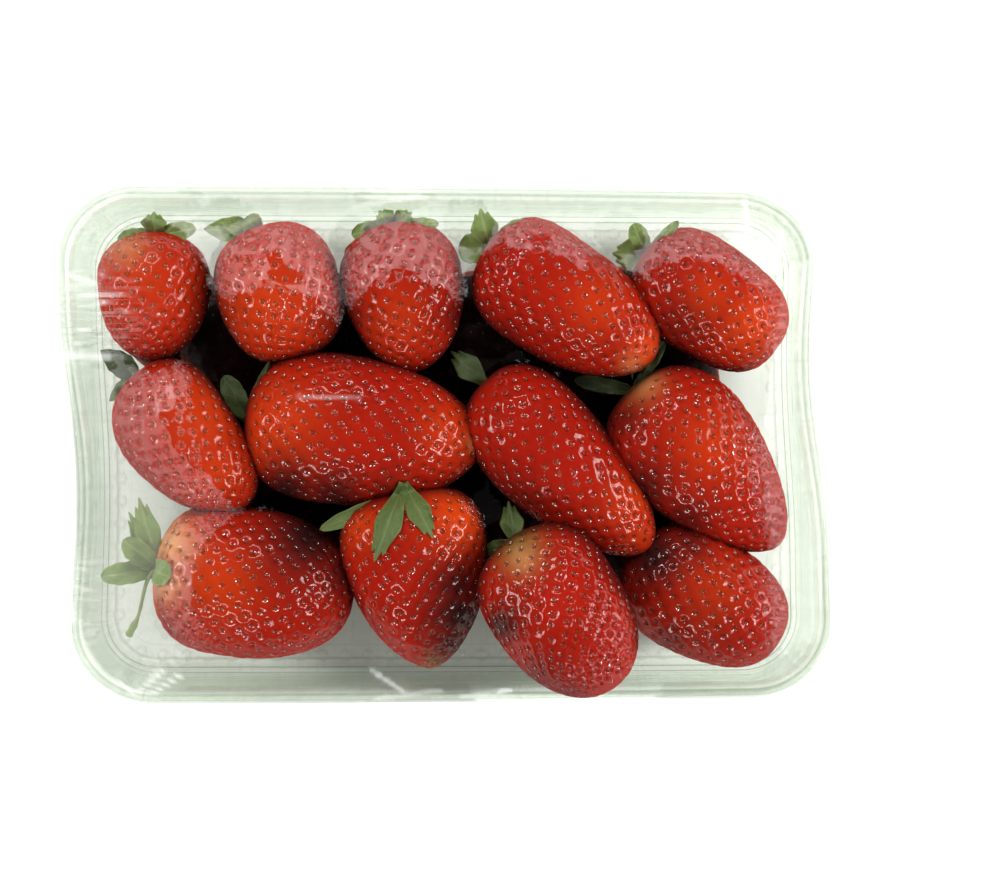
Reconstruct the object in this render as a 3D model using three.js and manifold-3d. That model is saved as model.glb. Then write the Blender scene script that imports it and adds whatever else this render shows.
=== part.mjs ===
// A clear punnet of strawberries under a taut stretch film.
// Millimetres, +Z up. The origin is the middle of the underside; +X runs along the long side.
import * as THREE from "three";
import { mergeVertices } from "three/addons/utils/BufferGeometryUtils.js";
import Module from "manifold-3d";

const wasm = await Module();
wasm.setup();

// ---- driving dimensions -------------------------------------------------------------------

const PACK_LENGTH = 187.4; // before the rim is racked, which makes it 190 overall
const PACK_WIDTH = 127.3;
const CORNER_RADIUS = 20;
const RIM_HEIGHT = 50;
const GAP = 0.3; // clearance between pieces that touch
const FILM_THICKNESS = 0.3;
const TRAY_WALL = 0.6;

// The film pulls the two short sides of the rim in, each about its own point, racks the rim, and
// narrows it towards the right.
const WAIST_DEPTH = 3.2;
const WAIST_REACH = 44;
const LEFT_WAIST_Y = -9;
const RIGHT_WAIST_Y = 18;
const RACK = 0.035; // sideways shift per millimetre of width
const TAPER = 0.03; // share of the width lost by the right end, growing with the square of the way
const BASE_PULL = 0.3; // share of all three left at the base

const CORNER_STEPS = 6;
const LONG_SIDE_STEPS = 9;
const SHORT_SIDE_STEPS = 7;

// ---- plan outline -------------------------------------------------------------------------

function waist(y, middle) {
  const along = Math.min(1, Math.abs(y - middle) / WAIST_REACH);
  return WAIST_DEPTH * Math.cos((along * Math.PI) / 2) ** 2;
}

// The pack's outline moved inwards by inset at height z, anticlockwise from the right-hand side.
function outline(inset, z) {
  const a = PACK_LENGTH / 2 - inset;
  const b = PACK_WIDTH / 2 - inset;
  const r = Math.max(CORNER_RADIUS - inset, 4);
  const pull = THREE.MathUtils.clamp(BASE_PULL + ((1 - BASE_PULL) * z) / RIM_HEIGHT, BASE_PULL, 1);
  const centres = [[a - r, b - r], [r - a, b - r], [r - a, r - b], [a - r, r - b]];
  const points = [];
  centres.forEach(([cx, cy], quarter) => {
    const onArc = (share, x, y) => {
      const turn = ((quarter + share) * Math.PI) / 2;
      return [x + r * Math.cos(turn), y + r * Math.sin(turn)];
    };
    for (let i = 0; i <= CORNER_STEPS; i++) points.push(onArc(i / CORNER_STEPS, cx, cy));
    const [nx, ny] = centres[(quarter + 1) % 4];
    const steps = quarter % 2 ? SHORT_SIDE_STEPS : LONG_SIDE_STEPS;
    for (let i = 1; i < steps; i++) {
      const share = i / steps;
      points.push(onArc(1, cx + (nx - cx) * share, cy + (ny - cy) * share));
    }
  });
  return points.map(([x, y]) => {
    const depth = x > 0 ? waist(y, RIGHT_WAIST_Y) : waist(y, LEFT_WAIST_Y);
    const drawnX = x - pull * ((x / a) * depth + RACK * y);
    return [drawnX, y * (1 - pull * TAPER * ((1 + x / a) / 2) ** 2)];
  });
}

// ---- geometry helpers ---------------------------------------------------------------------

function geometryOf(vertices, faces) {
  return new THREE.BufferGeometry()
    .setAttribute("position", new THREE.Float32BufferAttribute(vertices.flat(), 3))
    .setIndex(faces.flat());
}

// A closed skin through rings of equal length, with each end ring filled in as a fan.
function skin(rings) {
  const n = rings[0].length;
  const vertices = rings.flat();
  const faces = [];
  for (let k = 0; k + 1 < rings.length; k++) {
    const [low, high] = [k * n, (k + 1) * n];
    for (let j = 0; j < n; j++) {
      const next = (j + 1) % n;
      faces.push([low + j, low + next, high + next], [low + j, high + next, high + j]);
    }
  }
  for (const k of [0, rings.length - 1]) {
    vertices.push(rings[k].reduce((sum, p) => sum.map((v, i) => v + p[i] / n), [0, 0, 0]));
    const hub = vertices.length - 1;
    for (let j = 0; j < n; j++) {
      const [here, next] = [k * n + j, k * n + ((j + 1) % n)];
      faces.push(k === 0 ? [hub, next, here] : [hub, here, next]);
    }
  }
  return geometryOf(vertices, faces);
}

function solidOf(geometry) {
  const bare = geometry.clone();
  bare.deleteAttribute("normal");
  bare.deleteAttribute("uv");
  const merged = mergeVertices(bare, 1e-4);
  const kept = [];
  const index = merged.index.array;
  for (let i = 0; i < index.length; i += 3) {
    const [a, b, c] = index.slice(i, i + 3);
    if (a !== b && b !== c && a !== c) kept.push(a, b, c);
  }
  return new wasm.Manifold(
    new wasm.Mesh({
      numProp: 3,
      vertProperties: merged.attributes.position.array,
      triVerts: new Uint32Array(kept),
    }),
  );
}

function geometryFrom(solid) {
  const mesh = solid.getMesh();
  const vertices = [];
  for (let i = 0; i < mesh.vertProperties.length; i += mesh.numProp) {
    vertices.push([...mesh.vertProperties.slice(i, i + 3)]);
  }
  return geometryOf(vertices, [[...mesh.triVerts]]);
}

// ---- tray ---------------------------------------------------------------------------------

const LIP_DROP = 3;
const RIM_INSET = FILM_THICKNESS + GAP;
const BASE_UNDERSIDE = FILM_THICKNESS + GAP;
const PANEL_RISE = 1;
const FLOOR_TOP = BASE_UNDERSIDE + TRAY_WALL + PANEL_RISE;

// Rings of the tray as [inset, height], from the middle of the underside, round the rim, to the floor.
function trayProfile() {
  const top = RIM_HEIGHT;
  const low = BASE_UNDERSIDE;
  const t = TRAY_WALL;
  return [
    [13, low + PANEL_RISE],
    [11.6, low],
    [9.4, low],
    [8.2, low + 0.5],
    [7.4, low + 1.9],
    [6.8, 9.4],
    [5.4, 10.8],
    [3.6, top - 3],
    [3.0, top - 1.2],
    [2.4, top - t],
    [RIM_INSET + t, top - t],
    [RIM_INSET + t, top - LIP_DROP],
    [RIM_INSET, top - LIP_DROP],
    [RIM_INSET, top - 0.4],
    [RIM_INSET + 0.6, top],
    [2.7, top],
    [3.5, top - 0.7],
    [3.6 + t, top - 3],
    [5.4 + t, 11.2],
    [6.8 + t, 9.8],
    [7.4 + t, low + 2.6],
    [8.5 + t, low + t + 0.5],
    [9.7, low + t],
    [11.3, low + t],
    [12.7, low + t + PANEL_RISE],
  ];
}

function makeTray() {
  return skin(trayProfile().map(([inset, z]) => outline(inset, z).map(([x, y]) => [x, y, z])));
}

// ---- strawberries -------------------------------------------------------------------------

const FLATNESS = 0.92; // height of a lying fruit over its width

// Each fruit lies from its leafy base to its tip, given in plan. height is that of the middle of
// its base, and rise is how much higher its tip is. width is across the widest place, peak is how
// far along that is, shoulder and point are how blunt the two ends are, and bend is how far the
// axis bows to its left. A leaf is [x, y, lift, width]: its tip in plan, how much higher the tip is
// than the fruit's base, and its width; with no lift it lies on the fruit. Fruits without a height
// lie on the floor.
const LOWER_LAYER = [
  { base: [-72, 46], tip: [-67, 17], width: 27 },
  { base: [-50, 27], tip: [-29, 44], width: 27 },
  { base: [-16, 47], tip: [-2, 21], width: 27 },
  { base: [15, 26], tip: [40, 40], width: 27 },
  { base: [52, 44], tip: [74, 25], width: 27 },
  { base: [-57, 18], tip: [-66, -11], width: 25.5 },
  { base: [-40, 14], tip: [-24, -13], width: 27 },
  { base: [15, 8], tip: [-12, -3], width: 27 },
  { base: [30, 14], tip: [43, -14], width: 26 },
  { base: [72, 11], tip: [56, -13], width: 26 },
  { base: [-34, -28], tip: [-66, -35], width: 27.5 },
  { base: [-14, -18], tip: [-2, -45], width: 25.5 },
  { base: [19, -22], tip: [34, -49], width: 26 },
  { base: [75, -26], tip: [47, -38], width: 26.5 },
].map((fruit, i) => ({ name: "lower" + (i + 1), peak: 0.4, shoulder: 2.4, point: 1.9, ...fruit }));

const UPPER_LAYER = [
  {
    name: "back_left", base: [-71.6, 52.4], tip: [-72.3, 20.3], width: 28.2, height: 38.5, rise: 2,
    peak: 0.42, shoulder: 2.3, point: 1.9,
    leaves: [[-80.7, 50.1, 2, 5], [-71.5, 57.3, 4, 6.5], [-61.3, 53.2, 3, 4.6]],
  },
  {
    name: "back_round", base: [-46.2, 53.4], tip: [-35.3, 21.3], width: 30.4, height: 41, rise: 2,
    peak: 0.45, shoulder: 2.5, point: 2.7,
    leaves: [[-58.9, 52, 0, 6], [-48.8, 55.8, 4, 5.5]],
  },
  {
    name: "back_middle", base: [-13.1, 54.6], tip: [-7, 17.9], width: 30.1, height: 41, rise: 1,
    peak: 0.4, shoulder: 2.4, point: 1.9,
    leaves: [
      [-22.9, 51.6, 2, 4.8], [-16.2, 57.4, 4, 5.5], [-7.9, 57, 4, 5], [-1.4, 54.2, 3, 3.5],
      [-24.8, 47, -3, 3.5],
    ],
  },
  {
    name: "back_long", base: [10.2, 48.3], tip: [51.7, 21.1], width: 30.4, height: 42, rise: 3,
    peak: 0.34, shoulder: 2.6, point: 2.1, bend: -0.5,
    leaves: [[8.8, 57.9, 6, 7], [3.4, 48.5, -2, 7.5], [19.9, 54.9, 4, 4.5]],
  },
  {
    name: "back_right", base: [48.9, 47], tip: [82, 23.6], width: 29.4, height: 39.5, rise: 0,
    peak: 0.42, shoulder: 2.5, point: 2.6,
    leaves: [[41.3, 47, 0, 8], [46.5, 54.3, 4, 4.8], [57.6, 54.9, 4, 2.8]],
  },
  {
    name: "middle_left", base: [-75.8, 17.4], tip: [-48.5, -15], width: 28.5, height: 41, rise: 1,
    peak: 0.38, shoulder: 2.5, point: 2, bend: -1.7,
    leaves: [[-84.4, 22.7, -2, 5.5], [-82.6, 11.2, -4, 3.8]],
  },
  {
    name: "middle_large", base: [-49.2, 5.9], tip: [9.5, -0.2], width: 37.5, height: 41, rise: 2,
    peak: 0.36, shoulder: 2.5, point: 1.9,
    leaves: [[-54.4, 16.9, 0, 5.5], [-42.7, 21.3, 4, 2.8]],
  },
  {
    name: "middle_long", base: [9.7, 15.4], tip: [50.4, -25.9], width: 30.1, height: 43, rise: 1,
    peak: 0.34, shoulder: 2.5, point: 1.9, bend: -1.2,
    leaves: [[1.4, 23, -2, 6.5]],
  },
  {
    name: "middle_right", base: [46, 13.8], tip: [82.6, -25], width: 34.4, height: 40, rise: -1,
    peak: 0.34, shoulder: 2.5, point: 1.75,
    leaves: [[31.9, 15.9, -3, 3.8], [54.5, 25.9, 0, 3]],
  },
  {
    name: "front_left", base: [-71.5, -30.4], tip: [-22.5, -38.2], width: 37, height: 39.5, rise: -1,
    peak: 0.36, shoulder: 2.5, point: 2.4,
    leaves: [
      [-75.2, -13, 5, 6.5], [-77.9, -16.6, 2, 5.5], [-79.1, -23.5, 4, 6], [-84.8, -32.7, 1, 5.6],
      [-66.9, -32.5, null, 6.5],
    ],
  },
  {
    name: "front_middle", base: [-9.6, -11], tip: [-3, -55.3], width: 36, height: 45, rise: -9,
    peak: 0.34, shoulder: 2.7, point: 1.7,
    leaves: [[-17.1, -28.8, null, 8], [-2.5, -23, null, 6.4], [-30.7, -21.1, 0, 4]],
  },
  {
    name: "front_high", base: [16.9, -24.1], tip: [40.9, -58.7], width: 33.2, height: 46.5, rise: 16,
    peak: 0.42, shoulder: 2.6, point: 2.2,
    leaves: [[15.7, -13.9, -3, 6], [10.1, -26.2, -4, 4.4]],
  },
  {
    name: "front_right", base: [45.2, -27.8], tip: [83.2, -48], width: 30.8, height: 38, rise: -2,
    peak: 0.44, shoulder: 2.4, point: 2.4,
  },
];

// Half the fruit's width at a share t of its length: a superellipse each side of the widest place.
function radiusAt(fruit, t) {
  const [reach, blunt] =
    t < fruit.peak
      ? [(fruit.peak - t) / fruit.peak, fruit.shoulder]
      : [(t - fruit.peak) / (1 - fruit.peak), fruit.point];
  return (fruit.width / 2) * (1 - Math.min(1, reach) ** blunt) ** (1 / blunt);
}

// The fruit with its own directions: along its axis, to its left in plan, and up across its axis.
function laid(fruit) {
  const height = fruit.height ?? FLOOR_TOP + GAP + (fruit.width * FLATNESS) / 2;
  const foot = new THREE.Vector3(...fruit.base, height);
  const along = new THREE.Vector3(...fruit.tip, height + (fruit.rise ?? 0)).sub(foot);
  const length = along.length();
  along.normalize();
  const left = new THREE.Vector3(-along.y, along.x, 0).normalize();
  const up = new THREE.Vector3().crossVectors(along, left);
  return { bend: 0, leaves: [], ...fruit, foot, along, left, up, length };
}

function middleAt(fruit, t) {
  return fruit.foot
    .clone()
    .addScaledVector(fruit.along, t * fruit.length)
    .addScaledVector(fruit.left, fruit.bend * 4 * t * (1 - t));
}

// The height of the fruit's upper side at a place in plan, with the fruit grown by margin all round.
function topOf(fruit, x, y, margin = 0) {
  const { foot, along, left, length, width, bend } = fruit;
  const [dx, dy] = [x - foot.x, y - foot.y];
  const t = (dx * along.x + dy * along.y) / (length * (along.x ** 2 + along.y ** 2));
  const side = dx * left.x + dy * left.y - bend * 4 * t * (1 - t);
  const grownT = (t * length + margin) / (length + 2 * margin);
  if (grownT <= 0 || grownT >= 1) return -Infinity;
  const r = (radiusAt(fruit, grownT) * (width + 2 * margin)) / width;
  if (Math.abs(side) >= r) return -Infinity;
  return foot.z + along.z * length * t + FLATNESS * Math.sqrt(r * r - side * side);
}

function fruitSolid(fruit, stations, sides) {
  const span = stations + 1;
  const ts = Array.from({ length: span + 1 }, (_, i) => 0.5 - 0.5 * Math.cos((i * Math.PI) / span));
  const profile = ts.map((t) => new THREE.Vector2(radiusAt(fruit, t), t));
  profile[0].x = 0;
  profile[profile.length - 1].x = 0;
  const lathe = new THREE.LatheGeometry(profile, sides);
  const position = lathe.attributes.position;
  for (let i = 0; i < position.count; i++) {
    const t = position.getY(i);
    const place = middleAt(fruit, t)
      .addScaledVector(fruit.left, position.getX(i))
      .addScaledVector(fruit.up, position.getZ(i) * FLATNESS);
    position.setXYZ(i, place.x, place.y, place.z);
  }
  return outward(solidOf(lathe), lathe);
}

// The same solid with its faces pointing out, whichever way round the geometry was wound.
function outward(solid, geometry) {
  if (solid.volume() > 0) return solid;
  const index = geometry.index.array;
  for (let i = 0; i < index.length; i += 3) [index[i], index[i + 1]] = [index[i + 1], index[i]];
  return solidOf(geometry);
}

// ---- leaves -------------------------------------------------------------------------------

const LEAF_STATIONS = 4;
const LEAF_THICKNESS = 0.8;
const LEAF_ROOT = 2; // how deep a leaf starts inside the fruit
const RESTING_ROOT = -2.5; // the same for one that lies on the fruit, which starts outside it
const LEAF_ARCH = 2.5;
const RESTING_OFFSET = 0.2; // height of a leaf that lies on the fruit over its skin
const RESTING_DEPTH = 1.3; // how far such a leaf reaches below that, to join the faceted fruit

// A thin leaf with a lens section: both faces have the same triangles. It arches from the fruit's
// base to its tip, tilted a little and wavy, or follows the fruit's skin.
function leafSolid(fruit, [x, y, lift, width]) {
  const resting = lift === null;
  const under = resting ? RESTING_DEPTH : LEAF_THICKNESS / 2;
  const root = middleAt(fruit, 0).addScaledVector(fruit.along, resting ? RESTING_ROOT : LEAF_ROOT);
  const way = new THREE.Vector3(x - root.x, y - root.y, 0).normalize();
  const across = new THREE.Vector3(-way.y, way.x, 0);
  const sections = Array.from({ length: LEAF_STATIONS + 1 }, (_, k) => {
    const s = k / LEAF_STATIONS;
    const half = (width / 2) * Math.sin(Math.PI * Math.min(0.96, 0.12 + 0.84 * s)) ** 0.7;
    const lean = 0.3 * half * Math.sin(x + y) + 0.4 * Math.sin(5 * s + x);
    const place = (side, thick) => {
      const p = new THREE.Vector3(root.x + (x - root.x) * s, root.y + (y - root.y) * s, root.z + thick);
      p.addScaledVector(across, side * half);
      if (resting) p.z = Math.max(root.z, topOf(fruit, p.x, p.y) + RESTING_OFFSET) + thick;
      else p.z += lift * s + LEAF_ARCH * 4 * s * (1 - s) + side * lean;
      return p.toArray();
    };
    return [place(1, 0), place(0, LEAF_THICKNESS / 2), place(-1, 0), place(0, -under)];
  });
  const geometry = skin(sections);
  return outward(solidOf(geometry), geometry);
}

// ---- stalk --------------------------------------------------------------------------------

const STALK_RADIUS = 0.9;
const STALK_POINTS = [[-70.5, -31, 0], [-73.6, -34.5, 1.5], [-75, -40, 0], [-78.2, -47.3, -4]];

// The one stalk left on: a thin tube from the front left fruit's base, its heights above that base.
function stalkSolid(fruit) {
  const path = new THREE.CatmullRomCurve3(
    STALK_POINTS.map(([x, y, z]) => new THREE.Vector3(x, y, fruit.foot.z + z)),
  );
  const section = new THREE.Shape().absarc(0, 0, STALK_RADIUS, 0, 2 * Math.PI);
  const geometry = new THREE.ExtrudeGeometry(section, { extrudePath: path, steps: 7, curveSegments: 3 });
  return outward(solidOf(geometry), geometry);
}

// ---- heap ---------------------------------------------------------------------------------

const CORE_HALF = [78, 46, 16];
const CORE_MIDDLE_Z = 27;
const SEAM_TOLERANCE = 0.1; // slivers along the seams narrower than this are dropped

function makeHeap(lower, upper) {
  const core = new THREE.SphereGeometry(1, 12, 6).scale(...CORE_HALF).translate(0, 0, CORE_MIDDLE_Z);
  const solids = [
    solidOf(core),
    ...lower.map((fruit) => fruitSolid(fruit, 4, 9)),
    ...upper.map((fruit) => fruitSolid(fruit, 7, 12)),
    ...upper.flatMap((fruit) => fruit.leaves.map((leaf) => leafSolid(fruit, leaf))),
    stalkSolid(upper.find((fruit) => fruit.name === "front_left")),
  ];
  const heap = solids.reduce((sum, solid) => sum.add(solid)).simplify(SEAM_TOLERANCE);
  return heap.decompose().reduce((largest, body) => (body.volume() > largest.volume() ? body : largest));
}

// ---- film ---------------------------------------------------------------------------------

const FILM_CLEARANCE = 3; // between the fruits and the film's outer face
const MESH_STEP = 1.25;
const RELAX_SWEEPS = 600;
const RELAX_OVERSTEP = 1.9;
const FILM_RIM_Z = RIM_HEIGHT + GAP + FILM_THICKNESS;
const FILM_OPENING_INSET = 34; // the film's edge under the base

// The height of a taut sheet held at the rim and pushed up by the fruits: each free point settles
// at the mean of its neighbours, but no lower than what lies under it.
function tautSheet(fruits) {
  const nx = Math.ceil(PACK_LENGTH / MESH_STEP) + 1;
  const ny = Math.ceil(PACK_WIDTH / MESH_STEP) + 1;
  const place = (i, j) => [(i - (nx - 1) / 2) * MESH_STEP, (j - (ny - 1) / 2) * MESH_STEP];
  const height = new Float64Array(nx * ny).fill(FILM_RIM_Z);
  const floor = new Float64Array(nx * ny).fill(FILM_RIM_Z);
  for (let j = 1; j < ny - 1; j++) {
    for (let i = 1; i < nx - 1; i++) {
      const tops = fruits.map((fruit) => topOf(fruit, ...place(i, j), FILM_CLEARANCE));
      floor[j * nx + i] = Math.max(FILM_RIM_Z, ...tops);
    }
  }
  for (let sweep = 0; sweep < RELAX_SWEEPS; sweep++) {
    for (let j = 1; j < ny - 1; j++) {
      for (let i = 1; i < nx - 1; i++) {
        const k = j * nx + i;
        const mean = (height[k - 1] + height[k + 1] + height[k - nx] + height[k + nx]) / 4;
        height[k] = Math.max(floor[k], height[k] + RELAX_OVERSTEP * (mean - height[k]));
      }
    }
  }
  return (x, y) => {
    const u = THREE.MathUtils.clamp(x / MESH_STEP + (nx - 1) / 2, 0, nx - 1.001);
    const v = THREE.MathUtils.clamp(y / MESH_STEP + (ny - 1) / 2, 0, ny - 1.001);
    const [i, j] = [Math.floor(u), Math.floor(v)];
    const [s, t] = [u - i, v - j];
    const at = (di, dj) => height[(j + dj) * nx + i + di];
    return (at(0, 0) * (1 - s) + at(1, 0) * s) * (1 - t) + (at(0, 1) * (1 - s) + at(1, 1) * s) * t;
  };
}

const FILM_TOP_INSETS = [0.5, 3.5, 8, 13.5, 20, 28, 37, 48];
const FILM_SIDE = [[0, RIM_HEIGHT - 0.6], [0, RIM_HEIGHT - LIP_DROP], [4.5, 9.6], [6.9, 1.2], [8.6, 0]];

// Rings of the film's outer face from the middle of the top to the opening under the base, and the
// same rings one thickness further in.
function makeFilm(sheet) {
  const face = (offset) => {
    const top = FILM_TOP_INSETS.map((inset) =>
      outline(inset + offset, RIM_HEIGHT).map(([x, y]) => [x, y, sheet(x, y) - offset]),
    ).reverse();
    const side = FILM_SIDE.map(([inset, z]) => {
      return outline(inset + offset, z).map(([x, y]) => [x, y, z === 0 ? offset : z]);
    });
    const edge = outline(FILM_OPENING_INSET, 0).map(([x, y]) => [x, y, offset]);
    return [...top, ...side, edge];
  };
  const outer = face(0);
  const inner = face(FILM_THICKNESS);
  return skin([...inner, ...outer.reverse()]);
}

// ---- assembly -----------------------------------------------------------------------------

const clearPlastic = new THREE.MeshStandardMaterial({
  color: 0xdbe6dc, roughness: 0.08, metalness: 0, transparent: true, opacity: 0.35,
});
const clearFilm = new THREE.MeshStandardMaterial({
  color: 0xf2f6f3, roughness: 0.04, metalness: 0, transparent: true, opacity: 0.2,
});
const redFlesh = new THREE.MeshStandardMaterial({ color: 0xb8180f, roughness: 0.32, metalness: 0 });

function named(name, geometry, material) {
  const mesh = new THREE.Mesh(geometry, material);
  mesh.name = name;
  return mesh;
}

const lower = LOWER_LAYER.map(laid);
const upper = UPPER_LAYER.map(laid);
const sheet = tautSheet(upper);

const punnet = new THREE.Group();
punnet.add(named("tray", makeTray(), clearPlastic));
punnet.add(named("strawberries", geometryFrom(makeHeap(lower, upper)), redFlesh));
punnet.add(named("film", makeFilm(sheet), clearFilm));

export default punnet;
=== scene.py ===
"""A clear punnet of strawberries under a taut stretch film.

Lengths are in millimetres until a mesh is made. +X is the long side, +Y the back, +Z up, and the
origin is the middle of the underside.
"""

import math

import bpy
import numpy as np
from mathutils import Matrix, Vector


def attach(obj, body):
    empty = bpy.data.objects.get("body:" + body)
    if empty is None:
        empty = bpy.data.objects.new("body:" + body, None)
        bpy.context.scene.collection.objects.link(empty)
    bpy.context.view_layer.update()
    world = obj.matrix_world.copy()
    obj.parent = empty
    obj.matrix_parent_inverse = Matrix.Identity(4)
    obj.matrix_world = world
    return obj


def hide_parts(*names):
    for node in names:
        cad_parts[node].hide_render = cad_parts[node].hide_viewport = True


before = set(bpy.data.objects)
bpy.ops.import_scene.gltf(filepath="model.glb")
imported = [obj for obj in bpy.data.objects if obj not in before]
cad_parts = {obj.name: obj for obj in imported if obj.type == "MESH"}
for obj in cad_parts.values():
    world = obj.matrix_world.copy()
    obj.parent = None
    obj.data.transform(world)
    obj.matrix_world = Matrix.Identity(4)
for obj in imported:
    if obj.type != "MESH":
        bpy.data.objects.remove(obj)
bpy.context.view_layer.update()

MM = 0.001

# ---- the pack's outline ---------------------------------------------------------------------

PACK_LENGTH = 187.4
PACK_WIDTH = 127.3
CORNER_RADIUS = 20
SMALLEST_CORNER = 4
RIM_HEIGHT = 50
WAIST_DEPTH = 3.2
WAIST_REACH = 44
LEFT_WAIST_Y = -9
RIGHT_WAIST_Y = 18
RACK = 0.035
TAPER = 0.03
BASE_PULL = 0.3


def waist(y, middle):
    """How far a short side is drawn in: a squared cosine of the distance from its own middle."""
    along = np.minimum(1, np.abs(y - middle) / WAIST_REACH)
    return WAIST_DEPTH * np.cos(along * np.pi / 2) ** 2


def drawn_in(x, y, half_length, z):
    """A plan place after the film's pull: the waist, the racking and the taper, weaker lower down."""
    pull = np.clip(BASE_PULL + (1 - BASE_PULL) * z / RIM_HEIGHT, BASE_PULL, 1)
    depth = np.where(x > 0, waist(y, RIGHT_WAIST_Y), waist(y, LEFT_WAIST_Y))
    share = x / half_length
    return x - pull * (share * depth + RACK * y), y * (1 - pull * TAPER * ((1 + share) / 2) ** 2)


def on_outline(address, inset, z):
    """A ring of the pack: the centre of its corner or side plus the corner radius along its normal."""
    cx, cy, nx, ny = address
    a = PACK_LENGTH / 2 - inset
    b = PACK_WIDTH / 2 - inset
    r = np.minimum(np.maximum(CORNER_RADIUS - inset, SMALLEST_CORNER), b)
    return drawn_in(cx * (a - r) + r * nx, cy * (b - r) + r * ny, a, z)


def outline_address(long_steps, short_steps, corner_steps):
    """Addresses round the outline, anticlockwise from the right: corners by angle, sides by share."""
    parts = []
    corners = [(1, 1), (-1, 1), (-1, -1), (1, -1)]
    for quarter, (cx, cy) in enumerate(corners):
        turn = (quarter + np.arange(corner_steps + 1) / corner_steps) * np.pi / 2
        parts.append(np.array([cx + 0 * turn, cy + 0 * turn, np.cos(turn), np.sin(turn)]))
        after = corners[(quarter + 1) % 4]
        steps = short_steps if quarter % 2 else long_steps
        share = np.arange(1, steps) / steps
        end = (quarter + 1) * np.pi / 2 + 0 * share
        side = [cx + (after[0] - cx) * share, cy + (after[1] - cy) * share, np.cos(end), np.sin(end)]
        parts.append(np.array(side))
    return np.concatenate(parts, axis=1)


# ---- mesh helpers ---------------------------------------------------------------------------


def strip_faces(rings, around, start=0):
    """Quads between neighbouring rings of a closed band, numbered ring by ring."""
    k = np.arange(rings - 1)[:, None]
    j = np.arange(around)[None, :]
    after = (j + 1) % around
    corners = [k * around + j, k * around + after, (k + 1) * around + after, (k + 1) * around + j]
    return start + np.stack(np.broadcast_arrays(*corners), -1).reshape(-1, 4)


def fan_faces(ring_start, around, hub, flip=False):
    """Triangles from a ring to its hub."""
    j = np.arange(around)
    here = ring_start + j
    after = ring_start + (j + 1) % around
    order = [after, here, hub + 0 * j] if flip else [here, after, hub + 0 * j]
    return np.stack(order, -1)


def grid_faces(grid):
    """Quads between the neighbours of a grid of point numbers."""
    corners = [grid[:-1, :-1], grid[:-1, 1:], grid[1:, 1:], grid[1:, :-1]]
    return np.stack(corners, -1).reshape(-1, 4)


def closed_tube(rings, around):
    """The quads of a band of rings, and triangles from its ends to two hubs numbered after them."""
    hub = rings * around
    ends = [fan_faces(0, around, hub, flip=True), fan_faces(hub - around, around, hub + 1)]
    return strip_faces(rings, around), np.concatenate(ends)


def new_piece(name, points, quads, tris, material, values=None):
    """A mesh object from points in millimetres, with a float attribute for each entry of values."""
    mesh = bpy.data.meshes.new(name)
    quads = np.asarray(quads, np.int32).reshape(-1, 4)
    tris = np.asarray(tris, np.int32).reshape(-1, 3)
    corners = np.concatenate([quads.ravel(), tris.ravel()])
    totals = np.concatenate([np.full(len(quads), 4), np.full(len(tris), 3)])
    starts = np.concatenate([[0], np.cumsum(totals)[:-1]])
    mesh.vertices.add(len(points))
    mesh.loops.add(len(corners))
    mesh.polygons.add(len(totals))
    mesh.vertices.foreach_set("co", (np.asarray(points) * MM).astype(np.float32).ravel())
    mesh.loops.foreach_set("vertex_index", corners.astype(np.int32))
    mesh.polygons.foreach_set("loop_start", starts.astype(np.int32))
    mesh.polygons.foreach_set("use_smooth", np.ones(len(totals), bool))
    mesh.update(calc_edges=True)
    for key, value in (values or {}).items():
        value = np.asarray(value, np.float32)
        kind, field = ("FLOAT_VECTOR", "vector") if value.ndim > 1 else ("FLOAT", "value")
        kept = mesh.attributes.new(key, kind, "POINT")
        kept.data.foreach_set(field, value.ravel())
    mesh.materials.append(material)
    piece = bpy.data.objects.new(name, mesh)
    bpy.context.scene.collection.objects.link(piece)
    return piece


def joined(parts):
    """Several (points, quads, tris, values) as one, with the face numbers moved on."""
    points, quads, tris, values, start = [], [], [], {}, 0
    for part_points, part_quads, part_tris, part_values in parts:
        points.append(part_points)
        quads.append(np.asarray(part_quads, int).reshape(-1, 4) + start)
        tris.append(np.asarray(part_tris, int).reshape(-1, 3) + start)
        for key, value in part_values.items():
            values.setdefault(key, []).append(value)
        start += len(part_points)
    values = {key: np.concatenate(value) for key, value in values.items()}
    return np.concatenate(points), np.concatenate(quads), np.concatenate(tris), values


def smooth(low, high, value):
    """0 below low, 1 above high, with an easy curve between."""
    share = np.clip((value - low) / (high - low), 0, 1)
    return share * share * (3 - 2 * share)


def unit(vector):
    return vector / np.maximum(np.linalg.norm(vector, axis=-1, keepdims=True), 1e-9)


def off_segment(px, py, x0, y0, x1, y1):
    """How far places in plan are from the straight line between two ends."""
    dx, dy = x1 - x0, y1 - y0
    along = np.clip(((px - x0) * dx + (py - y0) * dy) / (dx**2 + dy**2), 0, 1)
    return np.hypot(px - x0 - along * dx, py - y0 - along * dy)


def along_and_across(px, py, x, y, way):
    """Offsets in plan from (x, y), along a direction in degrees and across it."""
    c, s = math.cos(math.radians(way)), math.sin(math.radians(way))
    return (px - x) * c + (py - y) * s, (py - y) * c - (px - x) * s


# ---- material helpers -----------------------------------------------------------------------


def node(tree, kind, feeds=None, **settings):
    """A shader node with its settings, and each feed either linked or set on the socket."""
    made = tree.nodes.new("ShaderNode" + kind)
    for key, value in settings.items():
        setattr(made, key, value)
    for key, value in (feeds or {}).items():
        if isinstance(value, bpy.types.NodeSocket):
            tree.links.new(value, made.inputs[key])
        else:
            made.inputs[key].default_value = value
    return made


def new_material(name):
    material = bpy.data.materials.new(name)
    material.use_nodes = True
    material.node_tree.nodes.clear()
    return material, material.node_tree


def close_material(tree, surface):
    output = node(tree, "OutputMaterial")
    tree.links.new(surface, output.inputs["Surface"])


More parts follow.
